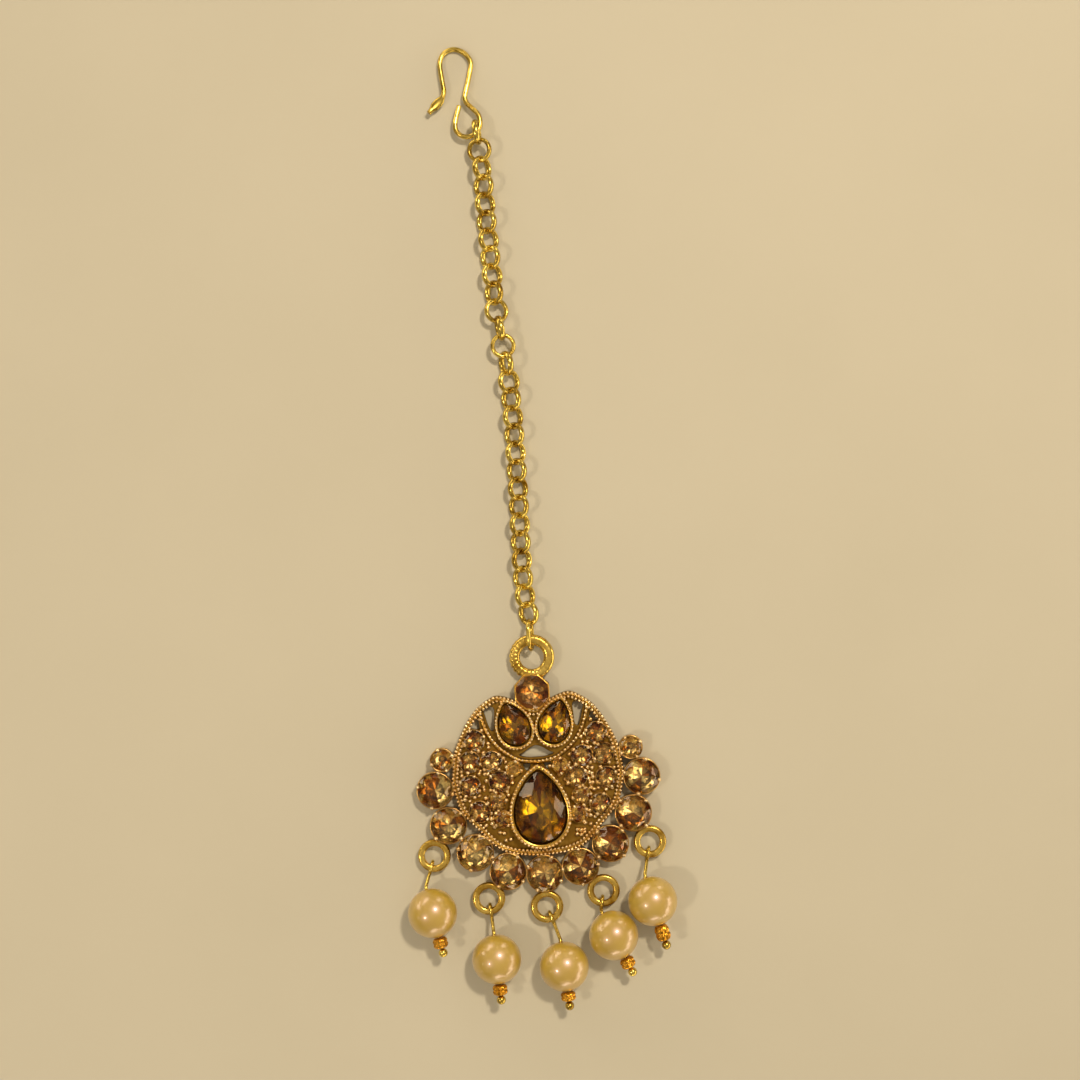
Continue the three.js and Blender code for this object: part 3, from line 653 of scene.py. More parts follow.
# %% The pierced plate
# Curves of the right half, as shares of half the body's width and of the rise to the neck stone.
BODY_OUTLINE = [
    (0.0, 0.839), (0.195, 0.925), (0.309, 0.962), (0.435, 0.98), (0.569, 0.93), (0.69, 0.855), (0.813, 0.716),
    (0.902, 0.574), (0.959, 0.458), (0.984, 0.335), (1.0, 0.213), (0.967, 0.065), (0.911, -0.071),
    (0.813, -0.168), (0.699, -0.265), (0.618, -0.342), (0.488, -0.432), (0.325, -0.483), (0.163, -0.503),
    (0.0, -0.51),
]
ARC_LINE = [
    (0.0, 0.355), (0.122, 0.365), (0.22, 0.384), (0.293, 0.419), (0.398, 0.481), (0.463, 0.535), (0.52, 0.6),
    (0.565, 0.671), (0.598, 0.748), (0.626, 0.826),
]
SIDE_WINDOWS = [
    [
        (0.466, 0.877), (0.577, 0.877), (0.561, 0.787), (0.537, 0.716), (0.504, 0.661), (0.476, 0.671),
        (0.463, 0.774),
    ],
    [(0.659, 0.774), (0.724, 0.774), (0.772, 0.723), (0.724, 0.697), (0.646, 0.69)],
    [(0.077, 0.332), (0.163, 0.335), (0.126, 0.277)],
]
MIDDLE_WINDOW = [
    (0.203, 0.423), (0.122, 0.4), (0.0, 0.394), (-0.122, 0.4), (-0.203, 0.423), (-0.146, 0.445),
    (-0.073, 0.484), (0.0, 0.503), (0.073, 0.484), (0.146, 0.445),
]
SHARES = np.array([HALF_BODY, BODY_RISE])
FLIP = np.array([-1.0, 1.0])

half = np.array(BODY_OUTLINE) * SHARES
outline = smooth_line(np.vstack([half, (half[1:-1] * FLIP)[::-1]]), closed=True)
outline = evenly(outline, 220, closed=True)
windows = [evenly(smooth_line(np.array(MIDDLE_WINDOW) * SHARES, True), 48, True)]
for points in SIDE_WINDOWS:
    for flip in (np.ones(2), FLIP):
        windows.append(evenly(smooth_line(np.array(points) * SHARES * flip, True), 40, True))
PLATE_TOP = 1.2


def filled(name, loops, low, high, edge, material):
    """A flat curve of closed loops, filled between them, from low to high with a rounded edge."""
    curve = bpy.data.curves.new(name, "CURVE")
    curve.dimensions = "2D"
    curve.fill_mode = "BOTH"
    curve.extrude = ((high - low) / 2 - edge) * MM
    curve.bevel_depth = edge * MM
    curve.bevel_resolution = 2
    curve.offset = -edge * MM
    for loop in loops:
        spline = curve.splines.new("POLY")
        spline.points.add(len(loop) - 1)
        places = np.column_stack([placed(loop) * MM, np.zeros(len(loop)), np.ones(len(loop))])
        spline.points.foreach_set("co", places.ravel())
        spline.use_cyclic_u = True
    holder = bpy.data.objects.new(name + "_curve", curve)
    bpy.context.scene.collection.objects.link(holder)
    evaluated = holder.evaluated_get(bpy.context.evaluated_depsgraph_get())
    mesh = bpy.data.meshes.new_from_object(evaluated)
    bpy.data.objects.remove(holder)
    count = len(mesh.vertices)
    points = np.zeros(count * 3)
    mesh.vertices.foreach_get("co", points)
    points = points.reshape(-1, 3) / MM + [0, 0, (low + high) / 2]
    faces = [list(p.vertices) for p in mesh.polygons]
    bpy.data.meshes.remove(mesh)
    return make(name, (points, faces), [material], smooth=False, check_faces=False)


plate = filled("pierced_plate", [outline, *windows], 0.0, PLATE_TOP, 0.1, CAST_FLOOR)
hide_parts("pendant_frame")
print("plate faces:", len(plate.data.polygons))

# %% [markdown]
# Collars hold the round stones: a thin upright wall turned over a little at the top. One profile, carried
# round a circle, makes them all, and the copies are laid into one mesh.

# %% Round collars
COLLARS = {
    "row": {"wall": 0.22, "low": 0.0, "top": 2.24, "floor": 0.95},
    "field": {"wall": 0.18, "low": 0.3, "top": 1.94, "floor": 0.95},
}
CLEAR, LIP = 0.05, 0.07
# How far the outer wall draws in at its foot and above it, and the share of the inside left open below.
FOOT_IN, SHIN_IN, SHIN_RISE, OPEN_SHARE = 0.25, 0.04, 0.6, 0.3


def collar(width, kind):
    """A collar's closed profile: down its outer wall, in under the floor, up inside and over the lip."""
    sizes = COLLARS[kind]
    inner = width / 2 + CLEAR
    outer = inner + sizes["wall"]
    top, floor, low = sizes["top"], sizes["floor"], sizes["low"]
    foot = inner * OPEN_SHARE
    profile = [
        (outer - FOOT_IN, low),
        (outer - SHIN_IN, low + SHIN_RISE),
        (outer, top - 0.5),
        (outer, top - LIP),
        (outer - LIP, top),
        (inner + LIP, top),
        (inner, top - LIP),
        (inner, floor),
        (foot, floor),
        (foot, low),
    ]
    return lathed(profile, 48)


def collars(name, kind, nodes, widths):
    """A collar round each of the stones, all as one piece."""
    shapes = []
    for node, width in zip(nodes, widths):
        points, faces = collar(width, kind)
        shapes.append((points + [*middle_of(node)[:2], 0], faces))
    cast(name, together(shapes), COLLAR_GOLD)


row_widths = [ROW_END_STONE, *[ROW_STONE] * 9, ROW_END_STONE]
field_widths = [FIELD_STONE * share for share in FIELD_SIZES] * 2
collars("row_collars", "row", row_nodes, row_widths)
collars("field_collars", "field", field_nodes, field_widths)

# %% [markdown]
# Walls with a rounded top run round the pear stones, along the rim and along the arc under the two pears.

# %% Walls and ridges


# Middles of the pears, and how far inside the outline the rim's middle line runs.
CENTRE_PLACE = (0, -0.85)
TOP_PLACE = np.array([0.244 * HALF_BODY, 0.716 * BODY_RISE])
RIM_IN = 0.4


def wall(line, width, low, high, closed=True):
    """An upright bar with a rounded top, standing along a flat line of the pendant."""
    w = width / 2
    shoulder, brow = high - 0.7 * w, high - 0.2 * w
    right = [(w, low), (w, shoulder), (w * 0.6, brow)]
    profile = [(-w, low), *right, (0, high), (-w * 0.6, brow), (-w, shoulder)]
    return carried(at_height(placed(line), 0), profile, closed)


def pear_line(side, wider, longer, count=120):
    """A line round a pear stone, wider and longer than it: the centre one for side 0, else an upper one."""
    size, tilt, middle = CENTRE_PEAR, 0, CENTRE_PLACE
    if side:
        size, tilt, middle = TOP_PEAR, -side * TOP_TILT, TOP_PLACE * (side, 1)
    angles = np.linspace(0, 2 * np.pi, 721)[:-1]
    line = at_height(pear_outline(angles, size[0] + wider, size[1] + longer), 0)
    return evenly(turned(line, tilt)[:, :2] + middle, count, True)


half_arc = np.array(ARC_LINE) * SHARES
arc = evenly(smooth_line(np.vstack([(half_arc[1:] * FLIP)[::-1], half_arc])), 160)
walls = [
    wall(inwards(outline, RIM_IN), 0.66, 0.1, 1.7),
    wall(arc, 0.6, 0.6, 1.75, closed=False),
    wall(pear_line(0, 0.9, 1.2, 160), 0.75, 0.3, 2.75),
]
walls += [wall(pear_line(side, 0.62, 0.9), 0.5, 0.3, 2.2) for side in (-1, 1)]
cast("rim_and_walls", together(walls), CAST_GOLD)

# %% [markdown]
# Milgrain is a row of tiny beads rolled into an edge. Each bead here is a sphere of forty faces. Over four
# hundred of them are laid along the lines by one array sum, and their heights follow the walls below. The
# prongs on the collars and the grains between the field's stones are laid in the same way.

# %% Milgrain beads
BEAD = 0.5
BEAD_STEP = 0.56


def bead_shape(rows=5, columns=8):
    """A small sphere: latitude rings between two poles."""
    a = np.linspace(0, np.pi, rows + 1)[1:-1, None]
    rings = polar(np.sin(a), np.arange(columns) * 2 * np.pi / columns, np.cos(a)).reshape(-1, 3)
    points = np.vstack([rings, [[0, 0, 1], [0, 0, -1]]])
    north, south = len(rings), len(rings) + 1
    faces = grid_faces(rows - 1, columns, False, True).tolist()
    k = np.arange(columns)
    last = (rows - 2) * columns
    faces += np.stack([np.full(columns, north), (k + 1) % columns, k], -1).tolist()
    faces += np.stack([np.full(columns, south), last + k, last + (k + 1) % columns], -1).tolist()
    return points, faces


def beaded(name, lines, spots_and_sizes=()):
    """Beads along lines of (flat line, closed, height, size), and at single spots with their sizes."""
    centres = [spot for spot, size in spots_and_sizes]
    sizes = [size for spot, size in spots_and_sizes]
    for line, closed, height, size in lines:
        count = int(length_of(line, closed) / (BEAD_STEP * size / BEAD))
        centres.append(at_height(placed(evenly(line, count, closed)), height))
        sizes.append(np.full(count, size / 2))
    centres, sizes = np.concatenate(centres), np.concatenate(sizes)
    # Beads come out a little uneven in size, as rolled and cast ones do.
    unevenness = np.random.default_rng(3).uniform(0.88, 1.08, len(sizes))
    shape, faces = bead_shape()
    points = centres[:, None] + shape[None] * (sizes * unevenness)[:, None, None]
    n = len(shape)
    all_faces = [[v + k * n for v in face] for k in range(len(centres)) for face in faces]
    cast(name, (points.reshape(-1, 3), all_faces), BEAD_GOLD)
    print(name, len(centres), "beads")


def prongs(nodes, widths, height, size, count):
    """The grains that hold a stone: a few beads at equal angles on its collar's lip."""
    centres = []
    for node, width, spin in zip(nodes, widths, spins[40:]):
        a = math.radians(spin * 2) + np.arange(count) * 2 * np.pi / count
        reach = width / 2 + 0.12
        centres.append(polar(reach, a, height) + [*middle_of(node)[:2], 0])
    centres = np.concatenate(centres)
    return centres, np.full(len(centres), size / 2)


def sideways(line, distance):
    """An open line moved to its right."""
    way = np.gradient(line, axis=0)
    way /= np.linalg.norm(way, axis=1, keepdims=True)
    return line + np.stack([way[:, 1], -way[:, 0]], axis=-1) * distance


# Each row's line, whether it is closed, the height of its beads' middles and their size.
bead_lines = [
    (inwards(outline, 0.16), True, 1.72, 0.5),
    (inwards(outline, 0.72), True, 1.72, 0.5),
    (sideways(arc, -0.1), False, 1.82, 0.5),
    (pear_line(0, 1.15, 1.6, 200), True, 2.72, 0.52),
]
bead_lines += [(pear_line(side, 0.8, 1.15), True, 2.2, 0.46) for side in (-1, 1)]
beaded("milgrain", bead_lines)
field_prongs = prongs(field_nodes, field_widths, 2.08, 0.6, 4)
row_prongs = prongs(row_nodes, row_widths, 2.36, 0.66, 4)
beaded("prongs", [], [field_prongs, row_prongs])


# Millimetres of room that a grain keeps from the rim and the arc, and the height of its middle.
GRAIN_ROOM, GRAIN_HEIGHT = 0.75, 1.42


def field_grains(step, clear, size):
    """Grains on a jittered square grid, kept inside the rim, below the arc and off the stones."""
    shake = np.random.default_rng(5)
    x, y = np.meshgrid(np.arange(-HALF_BODY, HALF_BODY, step), np.arange(-5.2, 13.0, step))
    spots = np.stack([x.ravel(), y.ravel()], -1) + shake.uniform(-0.34, 0.34, (x.size, 2)) * step
    arc_height = np.interp(np.abs(spots[:, 0]), *smooth_line(half_arc)[:, :2].T, right=99)
    room = np.linalg.norm(spots[:, None] - inwards(outline, RIM_IN)[None], axis=-1).min(axis=1)
    inside = np.array([point_inside(spot, outline) for spot in spots])
    keep = inside & (room > GRAIN_ROOM) & (spots[:, 1] < arc_height - GRAIN_ROOM)
    pear = pear_line(0, 2.6, 3.2, 160)
    keep &= ~np.array([point_inside(spot, pear) for spot in spots])
    for node, width in zip(field_nodes, field_widths):
        away = np.linalg.norm(spots - upright(middle_of(node)), axis=1)
        keep &= away > width / 2 + clear
    grains = at_height(placed(spots[keep]), GRAIN_HEIGHT)
    return grains, np.full(len(grains), size / 2)


def point_inside(point, line):
    """Whether a flat point is inside a closed line, by counting crossings."""
    a, b = line, np.roll(line, -1, axis=0)
    spans = (a[:, 1] > point[1]) != (b[:, 1] > point[1])
    rise = np.where(spans, b[:, 1] - a[:, 1], 1.0)
    cross = a[:, 0] + (point[1] - a[:, 1]) * (b[:, 0] - a[:, 0]) / rise
    return np.count_nonzero(spans & (cross > point[0])) % 2 == 1


beaded("field_grains", [], [field_grains(0.78, 0.3, 0.72)])

# %% [markdown]
# The ring that the chain holds is cast with notches like a rope, which are worn away on one side. The five
# loops below are plain rings with a groove, and the neck stone sits in an eight-sided setting under the ring.

# %% Ring, loops and neck setting
RING_OUTER, RING_HOLE, RING_MIDDLE, RING_THICK, RING_SIDE = 6.5, 3.4, 1.45, 1.2, 0.3
LOOP_OUTER, LOOP_WIRE, LOOP_MIDDLE, LOOP_BITE = 4.7, 1.0, 1.3, 0.2
ROW_WALL, ROOM = 0.2, 0.08
NECK_OUTER = 2.43
NECK_HALF = 4.2 / 2 + ROOM + 0.3
ring_radius = (RING_OUTER + RING_HOLE) / 4
ring_section = (RING_OUTER - RING_HOLE) / 4
ring_place = np.array([RING_SIDE, BODY_RISE + NECK_HALF + RING_OUTER / 2 - ring_section])


def roped_ring(centre, radius, section, thick, notches=26):
    """A flat ring: R + r(1 - notch) cos v out, t sin v up; the notch is a wave round its outer side."""
    turns, sides = 208, 20
    u, v = around(turns)[:, None], around(sides)[None, :]
    # The notches are a sixth of the section deep and nearly gone on the side worn smooth, at 40 degrees.
    worn = np.clip(0.5 - 0.75 * np.cos(u - np.radians(40)), 0.1, 1)
    wave = 0.5 + 0.5 * np.cos(notches * u + 1.2 * np.sin(v))
    cut = 0.17 * worn * wave**2 * np.clip(np.cos(v) * 0.6 + 0.6, 0, 1)
    groove = 0.12 * np.exp(-(((v - np.pi / 2) / 0.22) ** 2))
    reach = radius + section * (1 - cut) * np.cos(v)
    height = thick / 2 * (1 - cut - groove) * np.sin(v)
    points = placed(polar(reach, u, RING_MIDDLE + height) + [*centre, 0])
    return points.reshape(-1, 3), grid_faces(turns, sides, True, True)


cast("top_ring", roped_ring(ring_place, ring_radius, ring_section, RING_THICK), RING_GOLD)

# For each drop: the row stone that carries it, the bearing of its loop from there and its lean, both in
# degrees, and the length of its cap as a share of the usual one.
DROPS = [
    {"carrier": 3, "bearing": -29, "lean": 15, "cap": 1.0},
    {"carrier": 5, "bearing": -39, "lean": 6.4, "cap": 1.0},
    {"carrier": 6, "bearing": 0, "lean": 8, "cap": 0.87},
    {"carrier": 7, "bearing": 39, "lean": 27.4, "cap": 1.0},
    {"carrier": 9, "bearing": 26, "lean": 17.4, "cap": 1.47},
]
LOOP_RADIUS = (LOOP_OUTER - LOOP_WIRE) / 2


def grooved_loop(centre, radius, section, middle):
    """A cast loop: a round wire ring with a fine groove round its top, height r (1 - groove) sin v."""
    turns, sides = 64, 20
    u, v = around(turns)[:, None], around(sides)[None, :]
    groove = 0.18 * np.exp(-(((v - np.pi / 2) / 0.3) ** 2))
    height = section * 1.05 * (1 - groove) * np.sin(v)
    points = polar(radius + section * np.cos(v), u, middle + height) + [*centre, 0]
    return points.reshape(-1, 3), grid_faces(turns, sides, True, True)


loop_places, loop_shapes = [], []
for entry in DROPS:
    carrier = upright(middle_of(f"row_stone_{entry['carrier']}"))
    bearing = math.radians(entry["bearing"])
    reach = ROW_STONE / 2 + ROOM + ROW_WALL + LOOP_OUTER / 2 - LOOP_BITE
    spot = placed(carrier + np.array([math.sin(bearing), -math.cos(bearing)]) * reach)
    loop_places.append(spot)
    loop_shapes.append(grooved_loop(spot, LOOP_RADIUS, LOOP_WIRE / 2, LOOP_MIDDLE))
    root = placed(carrier)
    towards = (root - spot) / np.linalg.norm(root - spot)
    steps = LOOP_RADIUS + np.array([-0.1, 0.3, 0.6, 1.0])
    lug_path = at_height(spot + towards * steps[:, None], LOOP_MIDDLE - 0.1)
    loop_shapes.append(carried(lug_path, round_profile(1.3, 1.1)))
cast("cast_loops", together(loop_shapes), RING_GOLD)

# Eight corners, each softened by two more points, and the middles of the sides.
corner_width = 2 * NECK_OUTER / math.cos(np.pi / 8)
corners = round_outline(np.arange(8) * np.pi / 4 + np.pi / 8, corner_width, corner_width) + (0, BODY_RISE)
to_next = np.roll(corners, -1, axis=0) - corners
setting_line = np.stack([corners + to_next * t for t in (0.0, 0.06, 0.5, 0.94)], axis=1).reshape(-1, 2)
setting = [wall(inwards(setting_line, 0.1), 0.36, 0.0, 2.2), wall(inwards(setting_line, 1.3), 2.2, 0.0, 1.0)]
cast("neck_setting", together(setting), CAST_GOLD)

# %% [markdown]
# The pearls are glass or plastic balls dipped in pearl lacquer: cream, with a soft deep shine. A clear coat
# over a satin body gives the sharp lamp spots on a soft glow, and the drilled hole keeps its small rim.

# %% Pearl lacquer


def pearl_lacquer():
    """Layers of pearl essence in lacquer: satin cream, faintly cloudy, under a clear gloss."""
    material, shader = new_material("cream pearl lacquer")
    place = add(material, "ShaderNodeTexCoord").outputs["Object"]
    # 260 per metre: clouds about 4 mm across, half a pearl.
    cloud = add(
        material, "ShaderNodeTexNoise", {"Scale": 260.0, "Detail": 3.0, "Roughness": 0.5}, {"Vector": place}
    ).outputs["Fac"]
    tone = add(
        material,
        "ShaderNodeMix",
        {"A": colour("BEA830"), "B": colour("AC9018")},
        {"Factor": cloud},
        data_type="RGBA",
    )
    join(material, tone.outputs[2], shader.inputs["Base Color"])
    values = {
        "Roughness": 0.38,
        "IOR": 1.9,
        "Specular IOR Level": 1.0,
        "Specular Tint": colour("F0D6F4"),
        "Coat Weight": 1.0,
        "Coat Roughness": 0.12,
        "Coat IOR": 1.5,
        "Sheen Weight": 0.2,
        "Sheen Roughness": 0.3,
        "Sheen Tint": colour("FFC8C0"),
    }
    for socket, value in values.items():
        shader.inputs[socket].default_value = value
    # 5000 per metre: grain of 0.2 mm in the lacquer, coarser than the real one so that it shows.
    grain = add(
        material, "ShaderNodeTexNoise", {"Scale": 5000.0, "Detail": 2.0, "Roughness": 0.5}, {"Vector": place}
    ).outputs["Fac"]
    bump = add(material, "ShaderNodeBump", {"Strength": 0.06, "Distance": 0.00002}, {"Height": grain})
    join(material, bump.outputs["Normal"], shader.inputs["Normal"])
    return material


PEARL = pearl_lacquer()

# %% [markdown]
# Each drop lies as it fell: the pearl on the table, a pin level through its middle with a cap bead and a
# ball end on one side, and on the other a wire bent down to an eye that goes round the cast loop.

# %% The drops
PEARL_WIDTH, PIN_WIRE, EYE_INNER, BALL = 7.0, 0.5, 1.5, 1.3
CAP_WIDTH, CAP_LENGTH = 2.3, 1.5
HOLE = PIN_WIRE / 2 + 0.1


def laid(shape, origin, ahead):
    """A shape made along Z laid down so that its Z points ahead, from origin."""
    points, faces = shape
    side = np.cross([0, 0, 1.0], ahead)
    out = origin + points[:, :1] * side + points[:, 1:2] * np.array([0, 0, 1.0]) + points[:, 2:] * ahead
    return out, faces


def pearl_profile():
    """The drilled ball: an arc from rim to rim, its hole edges rounded over, and the bore between them."""
    edge = math.asin(HOLE / (PEARL_WIDTH / 2))
    a = np.linspace(edge + 0.02, np.pi - edge - 0.02, 44)
    arc_points = np.stack([np.sin(a), -np.cos(a)], axis=-1) * PEARL_WIDTH / 2
    bore = PEARL_WIDTH / 2 * math.cos(edge) - 0.12
    return np.vstack([arc_points, [(HOLE, bore), (HOLE, -bore)]])


def ribbed_cap(length, ribs=10):
    """A stamped cap bead: radius times swell(t) times 1 - 0.13 (1 + cos(ribs u)) / 2, waisted half way."""
    t = np.linspace(0, 1, 15)
    swell = 0.62 + 0.38 * np.sin(np.pi * t) ** 0.6
    swell *= 1 - 0.16 * np.exp(-(((t - 0.5) / 0.1) ** 2))
    u = around(80)[:, None]
    wave = 1 - 0.13 * (0.5 + 0.5 * np.cos(ribs * u)) * np.sin(np.pi * t)[None] ** 0.5
    outer = polar(CAP_WIDTH / 2 * swell[None] * wave, u, t * length)
    bore = polar(HOLE, u, np.array([length, 0.0]))
    points = np.concatenate([outer, bore], axis=1)
    return points.reshape(-1, 3), grid_faces(80, 17, True, True)


for number, (entry, loop) in enumerate(zip(DROPS, loop_places), start=1):
    lean = math.radians(entry["lean"])
    ahead = np.array([math.sin(lean), -math.cos(lean), 0.0])
    middle = middle_of(f"pearl_{number}")
    middle[2] = PEARL_WIDTH / 2
    pearl = laid(lathed(pearl_profile(), 64), middle, ahead)
    make(f"pearl_{number}_lacquered", pearl, [PEARL], (f"pearl_{number}",))

    cap_start = middle + ahead * (PEARL_WIDTH / 2 + ROOM)
    cap_reach = CAP_LENGTH * entry["cap"]
    cap = laid(ribbed_cap(cap_reach), cap_start, ahead)
    make(f"cap_bead_{number}_ribbed", cap, [CAP_GOLD], (f"cap_bead_{number}",))

    ball_middle = cap_start + ahead * (cap_reach + ROOM + BALL / 2)
    entry_point = middle - ahead * (PEARL_WIDTH / 2 + 0.3)
    flat = np.array([entry_point[0] - loop[0], entry_point[1] - loop[1], 0.0])
    towards = flat / np.linalg.norm(flat)
    eye_radius = (EYE_INNER + PIN_WIRE) / 2
    eye_middle = np.array([loop[0], loop[1], LOOP_MIDDLE]) + towards * LOOP_RADIUS
    eye_top = eye_middle + (towards + [0, 0, 1]) * eye_radius * 0.7
    bend_start = entry_point + (eye_top - entry_point) * 0.2
    pearl_end = middle - ahead * PEARL_WIDTH / 2
    t = np.linspace(0, 1, 10)[:, None]
    straight = ball_middle + (pearl_end - ball_middle) * np.linspace(0, 1, 12)[:, None]
    bend = (1 - t) ** 2 * pearl_end + 2 * t * (1 - t) * entry_point + t**2 * bend_start
    slope = bend_start + (eye_top - bend_start) * np.linspace(0, 1, 8)[:, None]
    path = np.vstack([straight, bend[1:], slope[1:]])
    shaft = carried(path, round_profile(PIN_WIRE, PIN_WIRE, 12))
    eye = ring_of(eye_middle, towards, [0, 0, 1.0], eye_radius, PIN_WIRE / 2, 40, 12)
    a = np.linspace(0, np.pi, 17)
    ball_profile = np.stack([np.sin(a), -np.cos(a)], -1) * BALL / 2
    ball_profile[[0, -1], 0] = 0.004
    ball = laid(lathed(ball_profile, 32), ball_middle, ahead)
    pin = together([shaft, eye, ball])
    make(f"head_pin_{number}_wire", pin, [LINK_GOLD], (f"head_pin_{number}",))
print("drops laid:", number)

# %% [markdown]
# The chain is of plain round links of half-flat wire, each turned against the next. Its way is one smooth
# line through a few points, and the links stand on it a pitch apart, just as the solids do.

# %% The chain
LINK_COUNT, LINK_OUTER, LINK_WIRE, LINK_BITE = 28, 3.64, 0.6, 0.12
END_LENGTH, END_WIDTH, END_ROOM = 4.7, 3.5, 0.28
# The chain's way, across and up, as shares of its length.
CHAIN_ROUTE = [
    (0.0, 0.0), (0.008, 0.04), (0.015, 0.12), (0.023, 0.27), (0.034, 0.422), (0.043, 0.495), (0.056, 0.572),
    (0.069, 0.641), (0.077, 0.714), (0.088, 0.822), (0.097, 0.923), (0.108, 1.0),
]
# Twists of the chain: about which link, by how many degrees and over how many links.
CHAIN_TWISTS = [(27, 40, 1.5), (15.5, -40, 1.8)]
BAND_THICK, BAND_SHARE, BAND_LIFT = 0.62, 1.5, 0.08
link_radius = (LINK_OUTER - LINK_WIRE) / 2
link_pitch = 2 * link_radius - LINK_WIRE + LINK_BITE

bar = placed(ring_place + (0, ring_radius))
end_inside = END_LENGTH / 2 - LINK_WIRE
end_place = bar + up_way * (end_inside - ring_section - END_ROOM)
first_place = end_place + up_way * (end_inside + link_radius - LINK_WIRE / 2 + LINK_BITE)
route = smooth_line(np.array(CHAIN_ROUTE) * (-1, 1), per_span=60)
route *= link_pitch * (LINK_COUNT - 1) / length_of(route)
spots = evenly(route, LINK_COUNT)
ways = np.gradient(evenly(route, LINK_COUNT * 8 - 7), axis=0)[::8]
ways /= np.linalg.norm(ways, axis=1, keepdims=True)


def link_axes(way, roll):
    """Across and along axes of a link that is rolled about the chain's way."""
    along = np.array([way[0], way[1], 0.0])
    side = np.array([way[1], -way[0], 0.0])
    a = math.radians(roll)
    return side * math.cos(a) - np.array([0, 0, 1.0]) * math.sin(a), along


links = []
for i, (spot, way) in enumerate(zip(spots, ways)):
    twist = sum(d * math.exp(-(((i - at) / reach) ** 2)) for at, d, reach in CHAIN_TWISTS)
    roll = (45 if i % 2 else -45) + twist
    height = link_radius * math.sin(math.radians(45 + abs(twist))) + LINK_WIRE / 2 + BAND_LIFT
    across, along = link_axes(way, roll)
    centre = np.array([*(first_place + spot), height])
    links.append(ring_of(centre, across, along, link_radius, BAND_THICK / 2, 44, 14, flat=BAND_SHARE))
across, along = link_axes(up_way, 80)
end_centre = np.array([*end_place, END_WIDTH / 2])
end_stretch = (END_LENGTH - END_WIDTH) / 2
end_radius = (END_WIDTH - LINK_WIRE) / 2
links.append(ring_of(end_centre, across, along, end_radius, LINK_WIRE / 2, 64, 14, end_stretch))
make("chain_links", together(links), [LINK_GOLD], ("chain",))
print("links:", len(links))

# %% [markdown]
# The hook is one length of flattened wire, bent on edge: it grips the hair by the narrow place between its
# legs, and its eye goes through the first link.

# %% The hook
HOOK_LENGTH, HOOK_WIDTH, HOOK_THICK, HOOK_TALL = 12.7, 4.43, 0.55, 0.8
# The bent wire from its tip to the end of its eye, as shares of the hook's width and length.
HOOK_LINE = [
    (-0.855, 0.27), (-0.645, 0.354), (-0.435, 0.438), (-0.371, 0.517), (-0.419, 0.629), (-0.5, 0.843),
    (-0.419, 0.933), (-0.258, 0.983), (-0.032, 1.0), (0.226, 0.972), (0.419, 0.91), (0.5, 0.843),
    (0.468, 0.742), (0.339, 0.517), (0.306, 0.449), (0.371, 0.388), (0.548, 0.326), (0.726, 0.264),
    (0.806, 0.18), (0.774, 0.101), (0.645, 0.034), (0.419, 0.0), (0.177, 0.017), (0.032, 0.073),
    (0.0, 0.146), (0.048, 0.247), (0.129, 0.354),
]
HOOK_HOLD, HOOK_BEARING, HOOK_ROOM, HOOK_SINK = (0.69, 0.06), 12, 0.75, 0.38
# Widths of the wire and of its hammered leaf near the tip, and how tall the leaf is left.
HOOK_BAND, HOOK_LEAF, LEAF_TALL = 0.72, 1.3, 0.5
last_spot = first_place + spots[-1]
last_height = link_radius * math.sin(math.radians(45 + 40)) + LINK_WIRE / 2
bearing = math.radians(HOOK_BEARING)
inside = link_radius - LINK_WIRE / 2 - HOOK_THICK / 2 - HOOK_ROOM
corner = last_spot + np.array([-math.sin(bearing), math.cos(bearing)]) * inside
corner = corner - np.array(HOOK_HOLD) * (HOOK_WIDTH, HOOK_LENGTH)
lift = last_height - HOOK_SINK - HOOK_TALL / 2
line = np.array(HOOK_LINE)
hook_points = np.column_stack(
    [corner + line * (HOOK_WIDTH, HOOK_LENGTH), HOOK_TALL / 2 + lift * (1 - line[:, 1])]
)
hook_path = evenly(smooth_line(hook_points), 220)
run = np.arange(220) / 219
leaf = np.exp(-(((run - 0.055) / 0.03) ** 4))
band = HOOK_BAND + (HOOK_LEAF - HOOK_BAND) * leaf
tall = HOOK_TALL - (HOOK_TALL - LEAF_TALL) * leaf
hook_sections = round_profile(1, 1, 14)[None] * np.stack([band, tall], -1)[:, None]
make("hook_wire", carried(hook_path, hook_sections), [LINK_GOLD], ("hook",))

# %% [markdown]
# The jewel lies on a cream table in a room: a lamp above it to the upper right, a weaker one to the left, a
# dim ceiling, and a few bright windows low down that give the metal something to reflect. The table is large,
# so that a low view ends on it.

# %% Table and light


def table_top():
    """Matt cream laminate with the faintest mottle."""
    material, shader = new_material("cream table top")
    place = add(material, "ShaderNodeTexCoord").outputs["Object"]
    # 30 per metre: soft patches about 33 mm across.
    mottle = add(
        material, "ShaderNodeTexNoise", {"Scale": 30.0, "Detail": 4.0, "Roughness": 0.5}, {"Vector": place}
    ).outputs["Fac"]
    tone = add(
        material,
        "ShaderNodeMix",
        {"A": colour("C8C7BD"), "B": colour("C1C0B5")},
        {"Factor": mottle},
        data_type="RGBA",
    )
    join(material, tone.outputs[2], shader.inputs["Base Color"])
    shader.inputs["Roughness"].default_value = 0.6
    return material


# Half the table's side, in metres.
TABLE_HALF = 20.0
table_corners = [(x * TABLE_HALF, y * TABLE_HALF, 0) for x, y in ((-1, -1), (1, -1), (1, 1), (-1, 1))]
table_mesh = bpy.data.meshes.new("table")
table_mesh.from_pydata(table_corners, [], [(0, 1, 2, 3)])
table_mesh.materials.append(table_top())
table = bpy.data.objects.new("table", table_mesh)
bpy.context.scene.collection.objects.link(table)


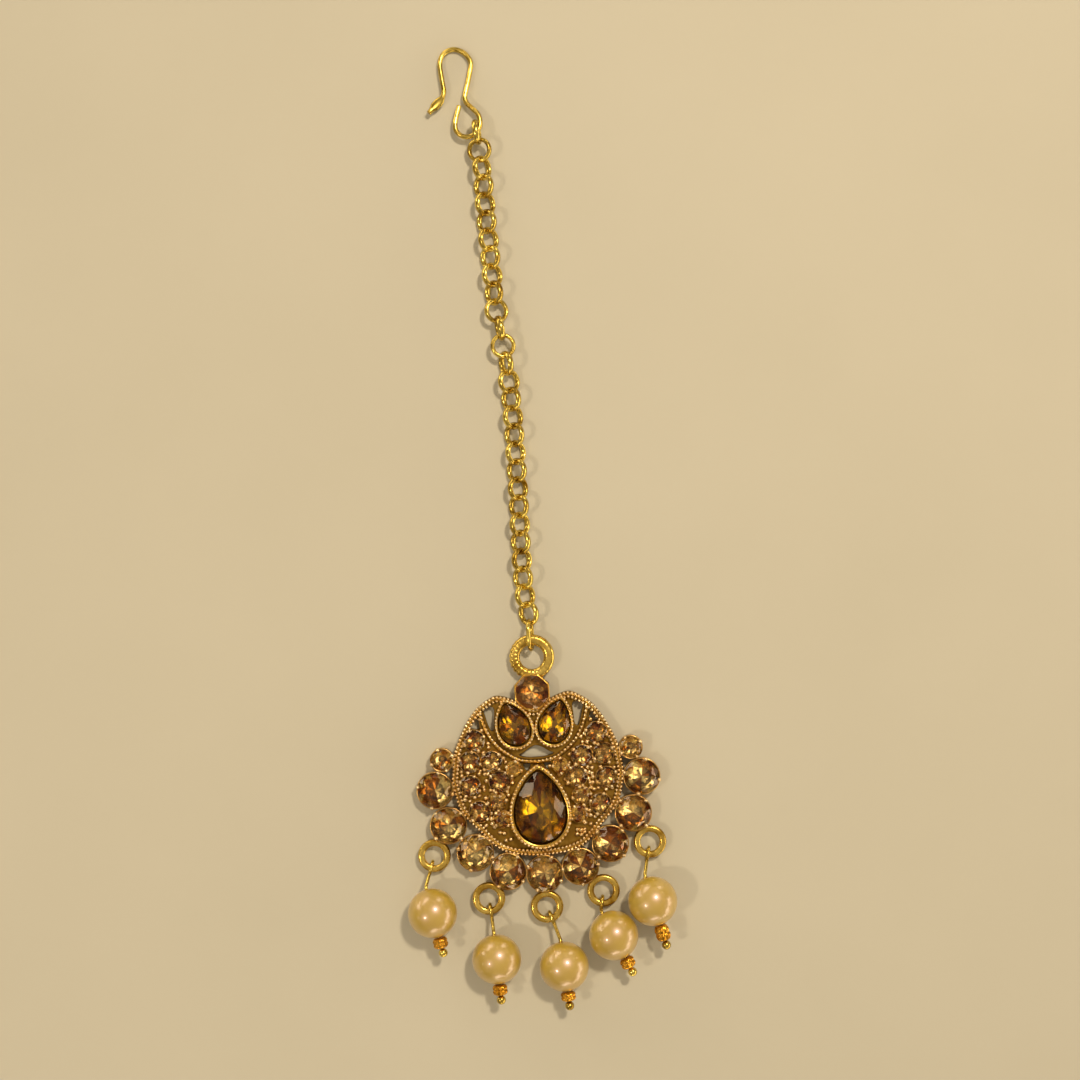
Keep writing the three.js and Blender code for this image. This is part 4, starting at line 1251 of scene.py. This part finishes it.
def lamp(name, place, size, power, tint):
    """A square soft light that looks at the pendant."""
    light = bpy.data.lights.new(name, "AREA")
    light.size = size
    light.energy = power
    light.color = colour(tint)[:3]
    holder = bpy.data.objects.new(name, light)
    bpy.context.scene.collection.objects.link(holder)
    target = np.array([*(pendant_middle * MM), 0.0])
    spot = target + np.array(place)
    holder.location = spot
    away = spot - target
    flat = math.hypot(away[0], away[1])
    holder.rotation_euler = (math.atan2(flat, away[2]), 0, math.atan2(away[0], -away[1]))


WARM_WHITE = "FFE8C4"
CEILING_GLOW, WINDOW_GLOW = (0.06, 0.5), 4.4
# Place from the pendant and side in metres, power in watts.
lamp("key light", (0.18, 0.32, 0.62), 0.06, 2.8, WARM_WHITE)
lamp("second light", (-0.4, -0.16, 0.6), 0.052, 1.05, WARM_WHITE)
world = bpy.data.worlds.new("room")
bpy.context.scene.world = world
world.use_nodes = True
way = add(world, "ShaderNodeTexCoord").outputs["Generated"]
height = add(world, "ShaderNodeSeparateXYZ", links={0: way}).outputs["Z"]
ceiling = add(
    world,
    "ShaderNodeMapRange",
    {"From Min": 0.1, "From Max": 1.0, "To Min": CEILING_GLOW[0], "To Max": CEILING_GLOW[1]},
    {"Value": height},
).outputs["Result"]
patches = add(world, "ShaderNodeTexNoise", {"Scale": 3.2, "Detail": 0.0}, {"Vector": way}).outputs["Fac"]
bright = add(
    world,
    "ShaderNodeMapRange",
    {"From Min": 0.58, "From Max": 0.62, "To Max": WINDOW_GLOW},
    {"Value": patches},
).outputs["Result"]
low_down = add(
    world, "ShaderNodeMapRange", {"From Min": 0.46, "From Max": 0.34}, {"Value": height}
).outputs["Result"]
glow = add(world, "ShaderNodeMath", None, {0: bright, 1: low_down}, operation="MULTIPLY").outputs[0]
total = add(world, "ShaderNodeMath", None, {0: ceiling, 1: glow}).outputs[0]
background = world.node_tree.nodes["Background"]
join(world, total, background.inputs["Strength"])
background.inputs["Color"].default_value = colour(WARM_WHITE)
bpy.context.scene.view_settings.view_transform = "Standard"
